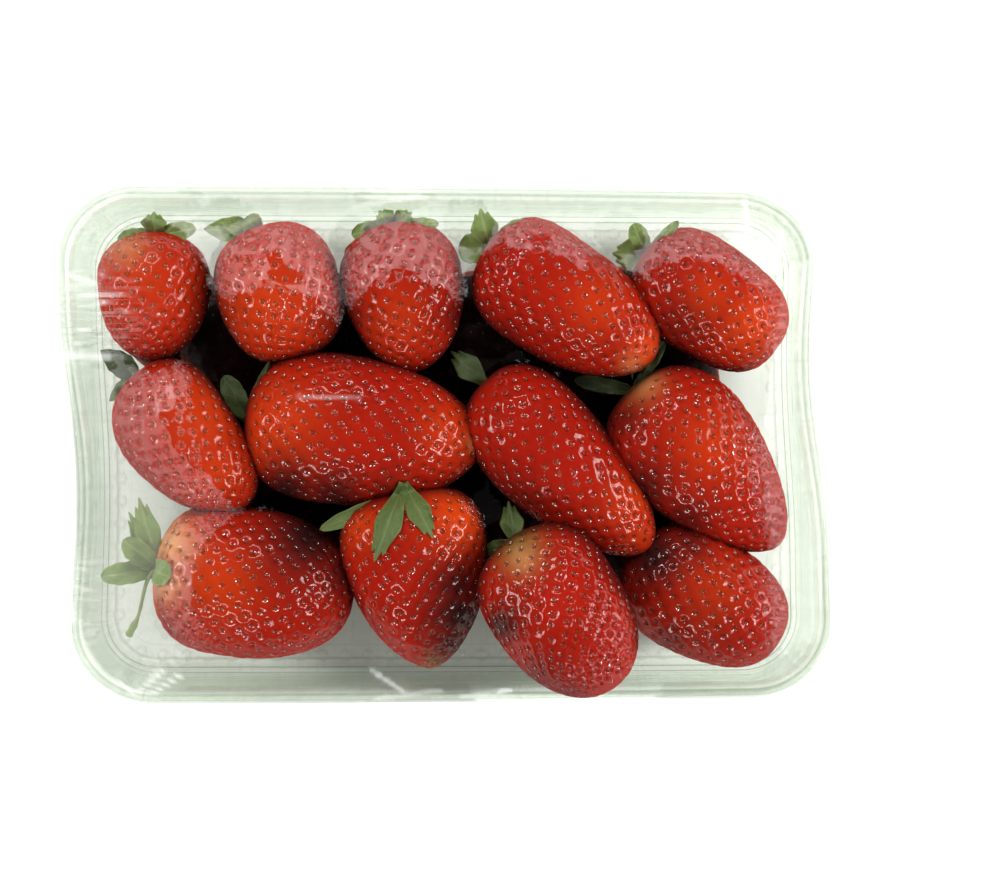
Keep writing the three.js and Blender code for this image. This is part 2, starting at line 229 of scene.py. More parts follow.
def object_noise(tree, scale, detail=2.0, roughness=0.5, stretch=(1, 1, 1)):
    """Noise on Object coordinates; scale is features a metre, stretch thins it along an axis."""
    place = node(tree, "TexCoord").outputs["Object"]
    place = node(tree, "Mapping", {"Vector": place, "Scale": stretch}).outputs["Vector"]
    made = node(
        tree, "TexNoise", {"Vector": place, "Scale": scale, "Detail": detail, "Roughness": roughness}
    )
    return made.outputs["Fac"]


def blend_colour(tree, share, first, second):
    made = node(tree, "Mix", data_type="RGBA")
    for index, value in ((0, share), (6, first), (7, second)):
        if isinstance(value, bpy.types.NodeSocket):
            tree.links.new(value, made.inputs[index])
        elif index:
            made.inputs[index].default_value = (*value, 1)
        else:
            made.inputs[index].default_value = value
    return made.outputs[2]


def attribute(tree, name):
    return node(tree, "Attribute", attribute_name=name).outputs["Fac"]


def mixed(tree, share, first, second):
    """Two surfaces mixed, with the second's share."""
    return node(tree, "MixShader", {0: share, 1: first, 2: second}).outputs[0]


def principled(tree, colour, roughness, **others):
    feeds = {"Base Color": colour, "Roughness": roughness}
    feeds.update({key.replace("_", " "): value for key, value in others.items()})
    return node(tree, "BsdfPrincipled", feeds).outputs[0]


def maths(tree, operation, *values):
    made = node(tree, "Math", operation=operation)
    for index, value in enumerate(values):
        if isinstance(value, bpy.types.NodeSocket):
            tree.links.new(value, made.inputs[index])
        else:
            made.inputs[index].default_value = value
    return made.outputs[0]


def stained(tree, colour, name, strength, stain):
    """The colour blended towards a stain by an attribute, at most as far as strength."""
    return blend_colour(tree, maths(tree, "MULTIPLY", attribute(tree, name), strength), colour, stain)


def eased(tree, value, low, high):
    """0 where value is under low, 1 where it is over high, with an easy curve between."""
    feeds = {"Value": value, "From Min": low, "From Max": high}
    return node(tree, "MapRange", feeds, interpolation_type="SMOOTHSTEP").outputs[0]


def bumped(tree, height, depth, below=None):
    """The normal of a height of 0 to 1 that stands depth metres, on top of another normal."""
    feeds = {"Height": height, "Strength": 1.0, "Distance": depth}
    if below:
        feeds["Normal"] = below
    return node(tree, "Bump", feeds).outputs["Normal"]


def seed_distance(tree):
    """The distance to the nearest seed, in millimetres for a seed of full size."""
    offset = node(tree, "Attribute", attribute_name="to_seed").outputs["Vector"]
    length = node(tree, "VectorMath", {0: offset}, operation="LENGTH").outputs["Value"]
    return maths(tree, "MAXIMUM", length, attribute(tree, "far"))


# ---- materials ------------------------------------------------------------------------------


PATCH_TINTS = {"orange": (0.66, 0.06, 0.006), "olive": (0.17, 0.095, 0.02), "pale": (0.72, 0.33, 0.12)}


def make_fruit_skin():
    """Red skin: deep and bright reds in clouds, then orange, olive and pale patches, painted shade
    near black, and a darker, steep-sided pit round each seed, whose wet walls are the glossiest."""
    material, tree = new_material("strawberry_skin")
    wobble = maths(tree, "MULTIPLY_ADD", object_noise(tree, 900, 1), 0.3, -0.15)
    off_seed = eased(tree, maths(tree, "ADD", seed_distance(tree), wobble), 0.32, 0.85)
    clouds = object_noise(tree, 70, 3)
    colour = blend_colour(tree, clouds, (0.175, 0.0045, 0.0022), (0.39, 0.0105, 0.0036))
    speckle = maths(tree, "MULTIPLY", object_noise(tree, 600, 2), 0.25)
    colour = blend_colour(tree, speckle, colour, (0.50, 0.024, 0.007))
    for kind, tint in PATCH_TINTS.items():
        colour = blend_colour(tree, attribute(tree, kind), colour, tint)
    in_pit = maths(tree, "MULTIPLY_ADD", off_seed, -0.3, 0.3)
    colour = blend_colour(tree, in_pit, colour, (0.09, 0.004, 0.003))
    # Painted shade: near black on the patches of painted shade and on steep sides turned into the gaps.
    colour = blend_colour(tree, attribute(tree, "deep"), colour, (0.022, 0.006, 0.006))
    line = eased(tree, attribute(tree, "crest"), 0.3, 0.75)
    normal = bumped(tree, line, 0.00012)
    normal = bumped(tree, off_seed, 0.00024, normal)
    normal = bumped(tree, object_noise(tree, 900, 3), 0.00003, normal)
    flesh = principled(tree, colour, 0.6, Specular_IOR_Level=0.0, Normal=normal)
    gloss = node(tree, "BsdfAnisotropic", {"Color": (1, 1, 1, 1), "Roughness": 0.1, "Normal": normal})
    wall = maths(tree, "MULTIPLY", off_seed, maths(tree, "SUBTRACT", 1.0, off_seed))
    share = maths(tree, "MULTIPLY_ADD", wall, 0.8, maths(tree, "MULTIPLY_ADD", line, 0.3, 0.03))
    close_material(tree, mixed(tree, share, flesh, gloss.outputs[0]))
    return material


def make_shaded_skin():
    """The skin of the fruits underneath: the same reds painted darker as shade, and near black with
    painted shade deep in the pack.
    """
    material, tree = new_material("strawberry_skin_deep")
    clouds = object_noise(tree, 70, 3)
    colour = blend_colour(tree, clouds, (0.14, 0.005, 0.002), (0.32, 0.012, 0.004))
    colour = stained(tree, colour, "pit", 0.6, (0.05, 0.003, 0.002))
    colour = blend_colour(tree, attribute(tree, "shade"), colour, (0.012, 0.002, 0.002))
    close_material(tree, principled(tree, colour, 0.5, IOR=1.2))
    return material


def make_seed_coat():
    """Seeds from dark red brown to straw yellow, by their own tone, and near black with painted shade
    deep in the pack.
    """
    material, tree = new_material("seed_coat")
    colour = blend_colour(tree, attribute(tree, "tone"), (0.17, 0.009, 0.004), (0.44, 0.15, 0.025))
    mottle = maths(tree, "MULTIPLY", object_noise(tree, 1500, 1), 0.4)
    colour = blend_colour(tree, mottle, colour, (0.16, 0.05, 0.012))
    colour = blend_colour(tree, attribute(tree, "shade"), colour, (0.008, 0.003, 0.002))
    close_material(tree, principled(tree, colour, 0.3, IOR=1.45))
    return material


def make_leaf_green():
    """Matt green leaf: paler along the midrib and side veins, and at the edges, and darker by the
    painted shade of leaves that lie in the gaps.
    """
    material, tree = new_material("leaf_green")
    clouds = object_noise(tree, 260, 3)
    colour = blend_colour(tree, clouds, (0.095, 0.15, 0.034), (0.20, 0.275, 0.068))
    colour = stained(tree, colour, "vein", 0.5, (0.34, 0.38, 0.18))
    colour = stained(tree, colour, "margin", 0.45, (0.30, 0.34, 0.13))
    colour = blend_colour(tree, attribute(tree, "painted_leaf_shade"), colour, (0.012, 0.02, 0.007))
    ribs = maths(tree, "MULTIPLY", attribute(tree, "vein"), 2)
    height = maths(tree, "ADD", object_noise(tree, 1400, 3), ribs)
    bump = node(tree, "Bump", {"Height": height, "Strength": 0.35, "Distance": 0.0003})
    close_material(tree, principled(tree, colour, 0.55, IOR=1.4, Normal=bump.outputs["Normal"]))
    return material


def clear_surface(tree, tint, edge_tint, gloss, roughness, normal, bend=0.0):
    """A clear face: tinted see-through, deeper at a glancing look and darkened along a bend by painted
    shade, mixed with a gloss that grows with the fifth power of how glancing it is."""
    facing = node(tree, "LayerWeight", {"Blend": 0.5, "Normal": normal}).outputs["Facing"]
    colour = blend_colour(tree, maths(tree, "POWER", facing, 2.5), tint, edge_tint)
    colour = blend_colour(tree, bend, colour, (0.36, 0.44, 0.33))
    through = node(tree, "BsdfTransparent", {"Color": colour})
    feeds = {"Color": (1, 1, 1, 1), "Roughness": roughness, "Normal": normal}
    shine = node(tree, "BsdfAnisotropic", feeds)
    share = maths(tree, "MULTIPLY_ADD", maths(tree, "POWER", facing, 5.0), 0.5, 0.035)
    share = maths(tree, "MULTIPLY", share, maths(tree, "MULTIPLY_ADD", bend, -0.8, gloss))
    return mixed(tree, share, through.outputs[0], shine.outputs[0])


def make_tray_plastic():
    """Clear faintly green plastic with a little haze, and darker lines of painted shade where it is
    bent.
    """
    material, tree = new_material("clear_plastic")
    normal = bumped(tree, object_noise(tree, 120, 1), 0.00006)
    clear = clear_surface(
        tree, (0.957, 0.974, 0.942), (0.84, 0.9, 0.82), 1.0, 0.03, normal, attribute(tree, "bend")
    )
    cloud = node(tree, "BsdfDiffuse", {"Color": (0.72, 0.81, 0.69, 1)})
    close_material(tree, mixed(tree, 0.02, clear, cloud.outputs[0]))
    return material


def make_film_plastic():
    """Thin stretched film: very clear and glossy, but not shiny where it clings to damp fruit, and
    less so over the seeds, where it dips. It is whiter along its folds, where it lies double and has
    a painted highlight, and has painted highlights on the crests of fine creases that cross its edges."""
    material, tree = new_material("clear_film")
    wrap = node(tree, "Attribute", attribute_name="wrap").outputs["Vector"]
    crease = node(tree, "TexNoise", {"Vector": wrap, "Scale": 1.0, "Detail": 1.0}).outputs["Fac"]
    crease_and_highlight = attribute(tree, "crease_and_highlight")
    dip = eased(tree, seed_distance(tree), 0.45, 1.15)
    normal = bumped(tree, maths(tree, "MULTIPLY", crease, crease_and_highlight), 0.0005)
    normal = bumped(tree, dip, 0.0001, normal)
    ragged = maths(tree, "MULTIPLY_ADD", object_noise(tree, 300, 3), 0.6, -0.3)
    cling = eased(tree, maths(tree, "ADD", attribute(tree, "cling"), ragged), 0.46, 0.54)
    free = maths(tree, "SUBTRACT", 1.0, cling)
    free = maths(tree, "MULTIPLY", free, maths(tree, "MULTIPLY_ADD", dip, 0.6, 0.4))
    clear = clear_surface(tree, (0.99, 0.995, 0.988), (0.93, 0.955, 0.925), free, 0.02, normal)
    # Painted highlights: white on the crests of the creases, and on the fold lines, which are partly
    # the film lying double.
    off_crest = maths(tree, "ABSOLUTE", maths(tree, "MULTIPLY_ADD", crease, 2.0, -1.0))
    crest = maths(tree, "POWER", maths(tree, "SUBTRACT", 1.0, off_crest), 16.0)
    white_and_highlight = maths(tree, "MULTIPLY", crest, maths(tree, "MULTIPLY", crease_and_highlight, 0.3))
    white_and_highlight = maths(tree, "MAXIMUM", white_and_highlight, attribute(tree, "fold_and_highlight"))
    white = node(tree, "BsdfDiffuse", {"Color": (0.93, 0.95, 0.92, 1)})
    close_material(tree, mixed(tree, white_and_highlight, clear, white.outputs[0]))
    return material


FRUIT_SKIN = make_fruit_skin()
PAINTED_SHADE_SKIN = make_shaded_skin()
SEED_COAT = make_seed_coat()
LEAF_GREEN = make_leaf_green()
TRAY_PLASTIC = make_tray_plastic()
FILM_PLASTIC = make_film_plastic()

# ---- the fruits' shapes ---------------------------------------------------------------------

FLATNESS = 0.92
FLOOR_TOP = 2.2
GAP = 0.3

# Fruits on the floor: base and tip in plan, and width.
LOWER_LAYER = [
    ((-72, 46), (-67, 17), 27),
    ((-50, 27), (-29, 44), 27),
    ((-16, 47), (-2, 21), 27),
    ((15, 26), (40, 40), 27),
    ((52, 44), (74, 25), 27),
    ((-57, 18), (-66, -11), 25.5),
    ((-40, 14), (-24, -13), 27),
    ((15, 8), (-12, -3), 27),
    ((30, 14), (43, -14), 26),
    ((72, 11), (56, -13), 26),
    ((-34, -28), (-66, -35), 27.5),
    ((-14, -18), (-2, -45), 25.5),
    ((19, -22), (34, -49), 26),
    ((75, -26), (47, -38), 26.5),
]

# Fruits wedged between the two layers: base and tip in plan, width, height of the axis.
WEDGED = [
    ((-60, 30), (-44, 12), 24, 21),
    ((-50, -6), (-34, -22), 23, 21),
    ((-24, 32), (-9, 8), 24, 21),
    ((-2, -2), (16, -20), 23, 21),
    ((26, 26), (44, 6), 24, 21),
    ((46, -4), (64, -22), 24, 21),
    ((34, 37), (56, 28), 22, 20),
    ((-30, -12), (-10, -34), 24, 20),
    ((56, 6), (60, 30), 22, 19),
    ((-30, 42), (-24, 24), 20, 20),
    ((2, 42), (10, 24), 22, 20),
    ((-62, 36), (-54, 18), 22, 20),
    ((2, 31), (14, 12), 24, 22),
    ((-35, 30), (-26, 14), 20, 22),
    ((8, -12), (12, -34), 20, 23),
    ((36, -20), (50, -34), 22, 20),
    ((14, -16), (28, -24), 20, 22),
    ((-10, 20), (4, 12), 20, 20),
]

# height is that of the middle of the fruit's base and rise is how much higher its tip is. Leaves are
# (x, y, lift, width, teeth, shade): a leaf with lift None lies on the fruit, and shade, the leaf's
# painted shade, may be left out. Patches are (x, y, radius, strength, kind); orange, olive and pale
# are the skin's own colour, and the fourth kind is painted shade. seed_tone is how yellow the seeds
# are, and
# tip_seeds how much closer together they are at the tip. groove is where round the fruit a furrow
# runs in half turns, its depth as a share of the radius, and its reach in radians.
UPPER_LAYER = {
    "back_left": dict(
        base=(-71.6, 52.4), tip=(-72.3, 20.3), width=28.2, height=38.5, rise=2, peak=0.42,
        shoulder=2.3, point=1.9, seed_tone=0.8, tip_seeds=0.7,
        leaves=[(-80.7, 50.1, 2, 5, 0), (-71.5, 57.3, 4, 6.5, 3), (-61.3, 53.2, 3, 4.6, 0)],
        patches=[(-78, 48, 5, 0.3, "pale"), (-72, 38, 12, 0.3, "orange"), (-76, 37, 6, 0.4, "web"),
                 (-74, 30, 7, 0.6, "web")],
    ),
    "back_round": dict(
        base=(-46.2, 53.4), tip=(-35.3, 21.3), width=30.4, height=41, rise=2, peak=0.45,
        shoulder=2.5, point=2.7, seed_tone=0.4, tip_seeds=0.3,
        leaves=[(-59.4, 53, 0, 6.5, 1), (-48.8, 55.8, 4, 5.5, 0), (-55.5, 54.5, 3, 5, 3)],
        patches=[(-40.5, 32.5, 5, 0.9, "web"), (-43, 34, 14, 0.45, "orange"),
                 (-57, 31, 4.5, 0.6, "deep"), (-27, 29, 4.5, 0.5, "deep")],
    ),
    "back_middle": dict(
        base=(-13.1, 54.6), tip=(-7, 17.9), width=30.1, height=41, rise=1, peak=0.4,
        shoulder=2.4, point=1.9, seed_tone=0.3, tip_seeds=0.4,
        leaves=[(-22.9, 51.6, 2, 4.8, 0), (-16.2, 57.4, 4, 5.5, 3), (-7.9, 57, 4, 5, 3),
                (-1.4, 54.2, 3, 3.5, 0), (-24.8, 47, -3, 3.5, 0, 0.3)],
        patches=[(-13.7, 30, 5, 0.6, "web"), (-12, 30, 9, 0.3, "orange"), (-24, 31, 5, 0.6, "deep"),
                 (4, 31, 4.5, 0.7, "deep")],
    ),
    "back_long": dict(
        base=(10.2, 48.3), tip=(51.7, 21.1), width=30.4, height=42, rise=3, peak=0.34,
        shoulder=2.6, point=2.1, bend=-0.5, seed_tone=0.25, tip_seeds=0.3,
        leaves=[(8.8, 57.9, 6, 7, 3), (3.4, 48.5, -2, 7.5, 0), (19.9, 54.9, 4, 4.5, 0)],
        patches=[(50.4, 23, 6, 0.65, "orange"), (46, 19, 3, 0.3, "pale"), (12.5, 38, 4.5, 0.7, "web"),
                 (48, 30, 5, 0.5, "web"), (38, 34, 8, 0.35, "orange"), (8, 31, 4.5, 0.6, "deep"),
                 (13.6, 25.5, 5, 0.7, "deep")],
    ),
    "back_right": dict(
        base=(48.9, 47), tip=(82, 23.6), width=29.4, height=39.5, rise=0, peak=0.42,
        shoulder=2.5, point=2.6, seed_tone=0.1, tip_seeds=0.5,
        leaves=[(41.3, 47, 0, 8, 3), (46.5, 54.3, 4, 4.8, 0), (57.6, 54.9, 4, 2.8, 0)],
        patches=[(78, 30, 6, 0.4, "web"), (76, 29, 8, 0.6, "orange"), (65, 36, 7, 0.35, "orange"),
                 (56, 28, 8, 0.45, "deep")],
    ),
    "middle_left": dict(
        base=(-75.8, 17.4), tip=(-48.5, -15), width=28.5, height=41, rise=4, peak=0.38,
        shoulder=2.5, point=2, bend=-1.7, seed_tone=0.55, tip_seeds=0.6,
        leaves=[(-85, 23.2, -2, 6.2, 1, 0.85), (-83, 10.6, -4, 4.4, 1, 0.35),
                (-81.5, 17.8, -4, 4, 1, 0.3)],
        patches=[(-60, 6, 12, 0.45, "orange"), (-56, -6, 9, 0.4, "orange"), (-75, 9, 7, 0.7, "web"),
                 (-61.5, -3, 6, 0.7, "web")],
    ),
    "middle_large": dict(
        base=(-49.2, 5.9), tip=(9.5, -0.2), width=37.5, height=41, rise=2, peak=0.36,
        shoulder=2.5, point=1.9, seed_tone=0.2, tip_seeds=0.2,
        leaves=[(-54.4, 16.9, 0, 5.5, 0, 0.8), (-42.7, 21.3, 4, 2.8, 1, 0.85)],
        patches=[(-42, 5, 12, 0.45, "orange"), (8.5, 0.5, 2.2, 0.7, "pale"), (-39, 4, 3.5, 0.8, "web"),
                 (7.5, -2.5, 2.5, 0.8, "web"), (2, 3, 8, 0.4, "orange"), (-39, -12, 8, 1, "deep"),
                 (-27, -14, 8, 0.9, "deep"), (-14, -13, 5, 0.6, "deep")],
    ),
    "middle_long": dict(
        base=(9.7, 15.4), tip=(50.4, -25.9), width=30.1, height=43, rise=1, peak=0.34,
        shoulder=2.5, point=1.9, bend=-1.2, seed_tone=0.2, tip_seeds=0.5,
        leaves=[(1.4, 23, -2, 6.5, 3, 0.8)],
        patches=[(48, -22, 5, 0.35, "orange"), (46, -14, 7, 0.4, "orange"), (12.6, -20, 11, 1, "deep"),
                 (27, -26, 7, 0.6, "deep")],
    ),
    "middle_right": dict(
        base=(46, 13.8), tip=(82.6, -25), width=34.4, height=40, rise=-1, peak=0.34,
        shoulder=2.5, point=1.75, seed_tone=0.15, tip_seeds=0.5,
        leaves=[(31.9, 15.9, -3, 3.8, 0, 0.82), (54.5, 25.9, 0, 3, 0, 0.75)],
        patches=[(46.5, 14.5, 5, 0.55, "olive"), (49, 16, 4, 0.5, "pale"), (70, 12, 6, 0.8, "web"),
                 (72, 0, 8, 1, "web"), (79, -19, 5, 0.6, "web"), (66, 0, 10, 0.35, "orange"),
                 (44, 6, 5, 0.6, "deep"), (48, -12, 8, 0.9, "deep"), (59, -19, 6.5, 0.7, "deep")],
    ),
    "front_left": dict(
        base=(-71.5, -30.4), tip=(-22.5, -38.2), width=37, height=39.5, rise=-1, peak=0.36,
        shoulder=2.5, point=2.4, seed_tone=0.2, tip_seeds=0.4,
        leaves=[(-75.2, -13, 5, 6.5, 3), (-77.9, -16.6, 2, 5.5, 3), (-79.1, -23.5, 4, 6, 0),
                (-84.8, -32.7, 1, 5.6, 0), (-66.9, -32.5, None, 6.5, 0)],
        patches=[(-68, -24, 6, 0.85, "pale"), (-69, -34, 5, 0.6, "pale"),
                 (-66, -20, 8, 0.5, "orange"), (-55, -34, 10, 0.45, "orange"),
                 (-33, -22, 12, 1, "deep"), (-24, -31, 8, 0.8, "deep")],
    ),
    "front_middle": dict(
        base=(-9.6, -11), tip=(-3, -55.3), width=36, height=45, rise=-9, peak=0.34,
        shoulder=2.7, point=1.7, seed_tone=0.3, tip_seeds=0.3,
        leaves=[(-17.1, -28.8, None, 6.8, 3, 0.45), (-2.5, -23, None, 6, 3, 0.45),
                (-30.7, -21.1, 0, 4, 0, 0.3)],
        patches=[(4, -16, 9, 0.75, "orange"), (-20, -20, 6, 0.5, "orange"),
                 (-2.5, -54, 2.6, 0.7, "olive"), (3.5, -35, 7, 0.85, "deep"),
                 (4, -42, 8, 1, "deep"), (2.5, -49, 6.5, 0.9, "deep")],
        groove=(0.42, 0.16, 0.42),
    ),
    "front_high": dict(
        base=(16.9, -24.1), tip=(40.9, -58.7), width=33.2, height=46.5, rise=16, peak=0.42,
        shoulder=2.6, point=2.2, seed_tone=0.15, tip_seeds=1.9,
        leaves=[(15.7, -13.9, -3, 6, 3, 0.6), (10.1, -26.2, -4, 4.4, 0, 0.65)],
        patches=[(17.5, -24, 6, 0.95, "olive"), (19, -28, 3.5, 0.4, "pale"), (37, -42, 7, 1, "web"),
                 (39, -53, 7, 1, "web"), (14, -44, 5, 0.9, "deep"), (22, -58, 7, 0.6, "deep"),
                 (29, -62, 5, 0.6, "deep")],
    ),
    "front_right": dict(
        base=(45.2, -27.8), tip=(83.2, -48), width=30.8, height=38, rise=-2, peak=0.44,
        shoulder=2.4, point=2.4, seed_tone=0.15, tip_seeds=0.4, leaves=[],
        patches=[(70, -30, 9, 0.5, "web"), (66, -36, 9, 0.3, "orange"), (51, -27, 9, 1, "deep"),
                 (62, -42, 16, 0.22, "deep"), (60, -24, 6, 0.7, "deep"), (55, -48, 6, 0.5, "deep")],
    ),
}

UPPER_MESH = (112, 184)  # stations along a fruit and turns round it
LOWER_MESH = (42, 72)
SEED_MESH = (2, 4)  # rings of a seed and places round each
SHADED_HALF = (84, 54)  # half the sides of the plan within which a fruit can get painted shade
FAR_SLACK = 0.42  # how far "far" lies below the true distance to the nearest seed
SEED_SPACING = 3.6
GOLDEN_TURN = math.pi * (3 - math.sqrt(5))
PIT_DEPTH = 0.46
PIT_REACH = 1.15
RIDGE_HEIGHT = 0.28
RIDGE_REACH = 0.4
SEED_HALF = (0.47, 0.29, 0.24)


def lay(fruit, rng):
    """Adds the fruit's own directions and its irregularities."""
    height = fruit.get("height", FLOOR_TOP + GAP + fruit["width"] * FLATNESS / 2)
    foot = np.array([*fruit["base"], height], float)
    along = np.array([*fruit["tip"], height + fruit.get("rise", 0)], float) - foot
    length = float(np.linalg.norm(along))
    along = along / length
    left = unit(np.array([-along[1], along[0], 0.0]))
    laid = dict(peak=0.4, shoulder=2.4, point=1.9, bend=0, patches=[], tip_seeds=0.4, under=0.0)
    laid.update(fruit)
    laid.update(foot=foot, along=along, left=left, up=np.cross(along, left), length=length)
    laid["phases"] = rng.uniform(0, 2 * np.pi, 6)
    return laid


def radius_at(fruit, t):
    """Half the width at a share t of the length: a superellipse each side of the widest place."""
    peak = fruit["peak"]
    before = t < peak
    reach = np.where(before, (peak - t) / peak, (t - peak) / (1 - peak))
    blunt = np.where(before, fruit["shoulder"], fruit["point"])
    return fruit["width"] / 2 * (1 - np.minimum(1, np.abs(reach)) ** blunt) ** (1 / blunt)


def fruit_point(fruit, t, turn):
    """A place on the smooth fruit: its bowed axis plus the radius round it, with slow lobes."""
    p = fruit["phases"]
    middle = np.sin(np.pi * t) ** 0.5
    lobes = 1 + middle * (
        0.018 * np.cos(2 * turn + p[0] + 2 * t) + 0.014 * np.cos(3 * turn + p[1] - 3 * t)
        + 0.012 * np.cos(5 * turn + p[2] + 6 * t) + 0.012 * np.sin(9 * t + p[3])
    )
    if "groove" in fruit:
        where, depth, reach = fruit["groove"]
        off = (turn - where * np.pi + np.pi) % (2 * np.pi) - np.pi
        lobes = lobes - depth * np.exp(-((off / reach) ** 2)) * smooth(0.25, 0.6, t)
    r = radius_at(fruit, t) * lobes
    axis = fruit["foot"] + (t * fruit["length"])[..., None] * fruit["along"]
    axis = axis + (fruit["bend"] * 4 * t * (1 - t))[..., None] * fruit["left"]
    across = (r * np.cos(turn))[..., None] * fruit["left"]
    return axis + across + (r * np.sin(turn) * FLATNESS)[..., None] * fruit["up"]


def fruit_normal(fruit, t, turn):
    """The outward direction from the two partial differences of fruit_point."""
    step = 1e-3
    t = np.clip(t, 2 * step, 1 - 2 * step)
    by_t = fruit_point(fruit, t + step, turn) - fruit_point(fruit, t - step, turn)
    by_turn = fruit_point(fruit, t, turn + step) - fruit_point(fruit, t, turn - step)
    return unit(np.cross(by_turn, by_t))


def seed_places(fruit, rng):
    """Seeds on a golden-angle spiral, spaced by area and closer together towards the tip."""
    t = np.linspace(0.035, 0.985, 500)
    r = radius_at(fruit, t)
    run = np.hypot(np.gradient(t) * fruit["length"], np.gradient(r))
    closeness = 1 + fruit["tip_seeds"] * smooth(0.62, 0.95, t)
    total = np.cumsum(r * run * closeness)
    count = int(round(2 * np.pi * 0.96 * total[-1] / (0.87 * SEED_SPACING**2)))
    share = (np.arange(count) + 0.5) / count
    seed_t = np.interp(share, total / total[-1], t) + rng.normal(0, 0.004, count)
    seed_t = np.clip(seed_t, 0.03, 0.988)
    wander = 0.22 / np.maximum(radius_at(fruit, seed_t), 1)
    seed_turn = np.arange(count) * GOLDEN_TURN + rng.normal(0, 1, count) * wander
    size = 1 / np.sqrt(np.interp(seed_t, t, closeness))
    return seed_t, seed_turn, size


def wall_shares(points):
    """How far out each point is along x and along y, as shares of the half sides of the area with
    painted shade.
    """
    return np.abs(points[..., 0]) / SHADED_HALF[0], np.abs(points[..., 1]) / SHADED_HALF[1]


def in_the_deep(points):
    """Where painted shade lies: 1 in the middle of the pack and 0 by its walls, from the larger share
    of the half sides.
    """
    return 1 - smooth(0.86, 1.0, np.maximum(*wall_shares(points)))


def facing_wall(points, normal):
    """1 on steep surfaces that look out through the nearest wall, 0 deep in the pack or turned up
    or away. Painted shade is kept off where it is 1."""
    share_x, share_y = wall_shares(points)
    outward = np.where(
        share_x > share_y,
        normal[..., 0] * np.sign(points[..., 0]),
        normal[..., 1] * np.sign(points[..., 1]),
    )
    steep = 1 - smooth(0.2, 0.5, normal[..., 2])
    return smooth(0.62, 0.8, np.maximum(share_x, share_y)) * smooth(0.1, 0.5, outward) * steep


def patch_weight(fruit, kind, points):
    """How strongly the patches of one kind cover each point, in plan."""
    weight = np.zeros(points.shape[:-1])
    for x, y, radius, strength, of_kind in fruit["patches"]:
        if of_kind == kind:
            far = (points[..., 0] - x) ** 2 + (points[..., 1] - y) ** 2
            weight = np.maximum(weight, strength * np.exp(-far / radius**2))
    return weight


def fruit_body(fruit, rng, stations, turns):
    """The fruit as (points, quads, tris, values), and its seeds' places.

    The smooth surface is pushed in by a bell round each seed and out along the lines halfway
    between two seeds, which makes the pits and the ridges between them.
    """
    seed_t, seed_turn, seed_size = seed_places(fruit, rng)
    seeds = fruit_point(fruit, seed_t, seed_turn).astype(np.float32)
    share = np.arange(1, stations) / stations
    t = 0.5 - 0.5 * np.cos(np.pi * (0.06 + 0.88 * share))
    t = (t - t[0]) / (t[-1] - t[0]) * 0.992 + 0.004
    turn = np.arange(turns) / turns * 2 * np.pi
    turn = turn + 0.22 * np.cos(turn)  # closer together on the upper side
    t, turn = np.meshgrid(t, turn, indexing="ij")
    points = fruit_point(fruit, t, turn)
    normal = fruit_normal(fruit, t, turn)
    flat = points.reshape(-1, 3).astype(np.float32)
    far = np.sqrt(
        np.maximum((flat**2).sum(1)[:, None] + (seeds**2).sum(1)[None] - 2 * flat @ seeds.T, 0)
    )
    order = np.argpartition(far, 1, axis=1)[:, :2]
    two = np.take_along_axis(far, order, 1)
    nearest = order[np.arange(len(order)), two.argmin(1)]
    first, second = two.min(1), two.max(1)
    size = seed_size[nearest]
    pit = np.exp(-((first / (PIT_REACH * size)) ** 2)).reshape(t.shape)
    ridge = np.exp(-(((second - first) / (RIDGE_REACH * size)) ** 2)).reshape(t.shape)
    size = size.reshape(t.shape)
    web = patch_weight(fruit, "web", points)
    lift = RIDGE_HEIGHT * size * ridge * (0.03 + 0.97 * web) - PIT_DEPTH * size * pit * (1 + 0.5 * web)
    waves = [np.sin(points @ np.array(way)) for way in ((1.9, 1.1, 0.7), (-0.8, 1.6, 1.3))]
    points = points + (lift + 0.05 * waves[0] * waves[1])[..., None] * normal
    poles = np.array([fruit_point(fruit, np.array(end), np.array(0.0)) for end in (0.0, 1.0)])
    values = {"pit": pit, "crest": ridge * web}
    # Orange, olive and pale patches are the skin's own colour; the fourth kind is painted shade.
    for kind in ("orange", "olive", "pale", "deep"):
        values[kind] = patch_weight(fruit, kind, points)
    # Painted shade: "shade" is high deep in the pack but not on steep sides that look out through a
    # wall, and the steep sides it covers, turned into the gaps, join the patches of painted shade.
    values["shade"] = in_the_deep(points) * (1 - facing_wall(points, normal))
    painted_side_shade = (1 - smooth(0.15, 0.68, normal[..., 2])) * values["shade"]
    values["deep"] = np.maximum(values["deep"], 0.8 * painted_side_shade)
    values = {key: np.concatenate([value.ravel(), [0, 0]]) for key, value in values.items()}
    to_seed = (flat - seeds[nearest]) / size.reshape(-1, 1)
    # Between two seeds the offsets to them blend into one that is too short, so the distance taken
    # from it is never less than "far".
    values["far"] = np.concatenate([first / size.ravel() - FAR_SLACK, [1.5, 1.5]])
    values["to_seed"] = np.concatenate([to_seed, np.full((2, 3), 2.0)])
    all_points = np.concatenate([points.reshape(-1, 3), poles])
    return (all_points, *closed_tube(*t.shape), values), (seed_t, seed_turn, seed_size)


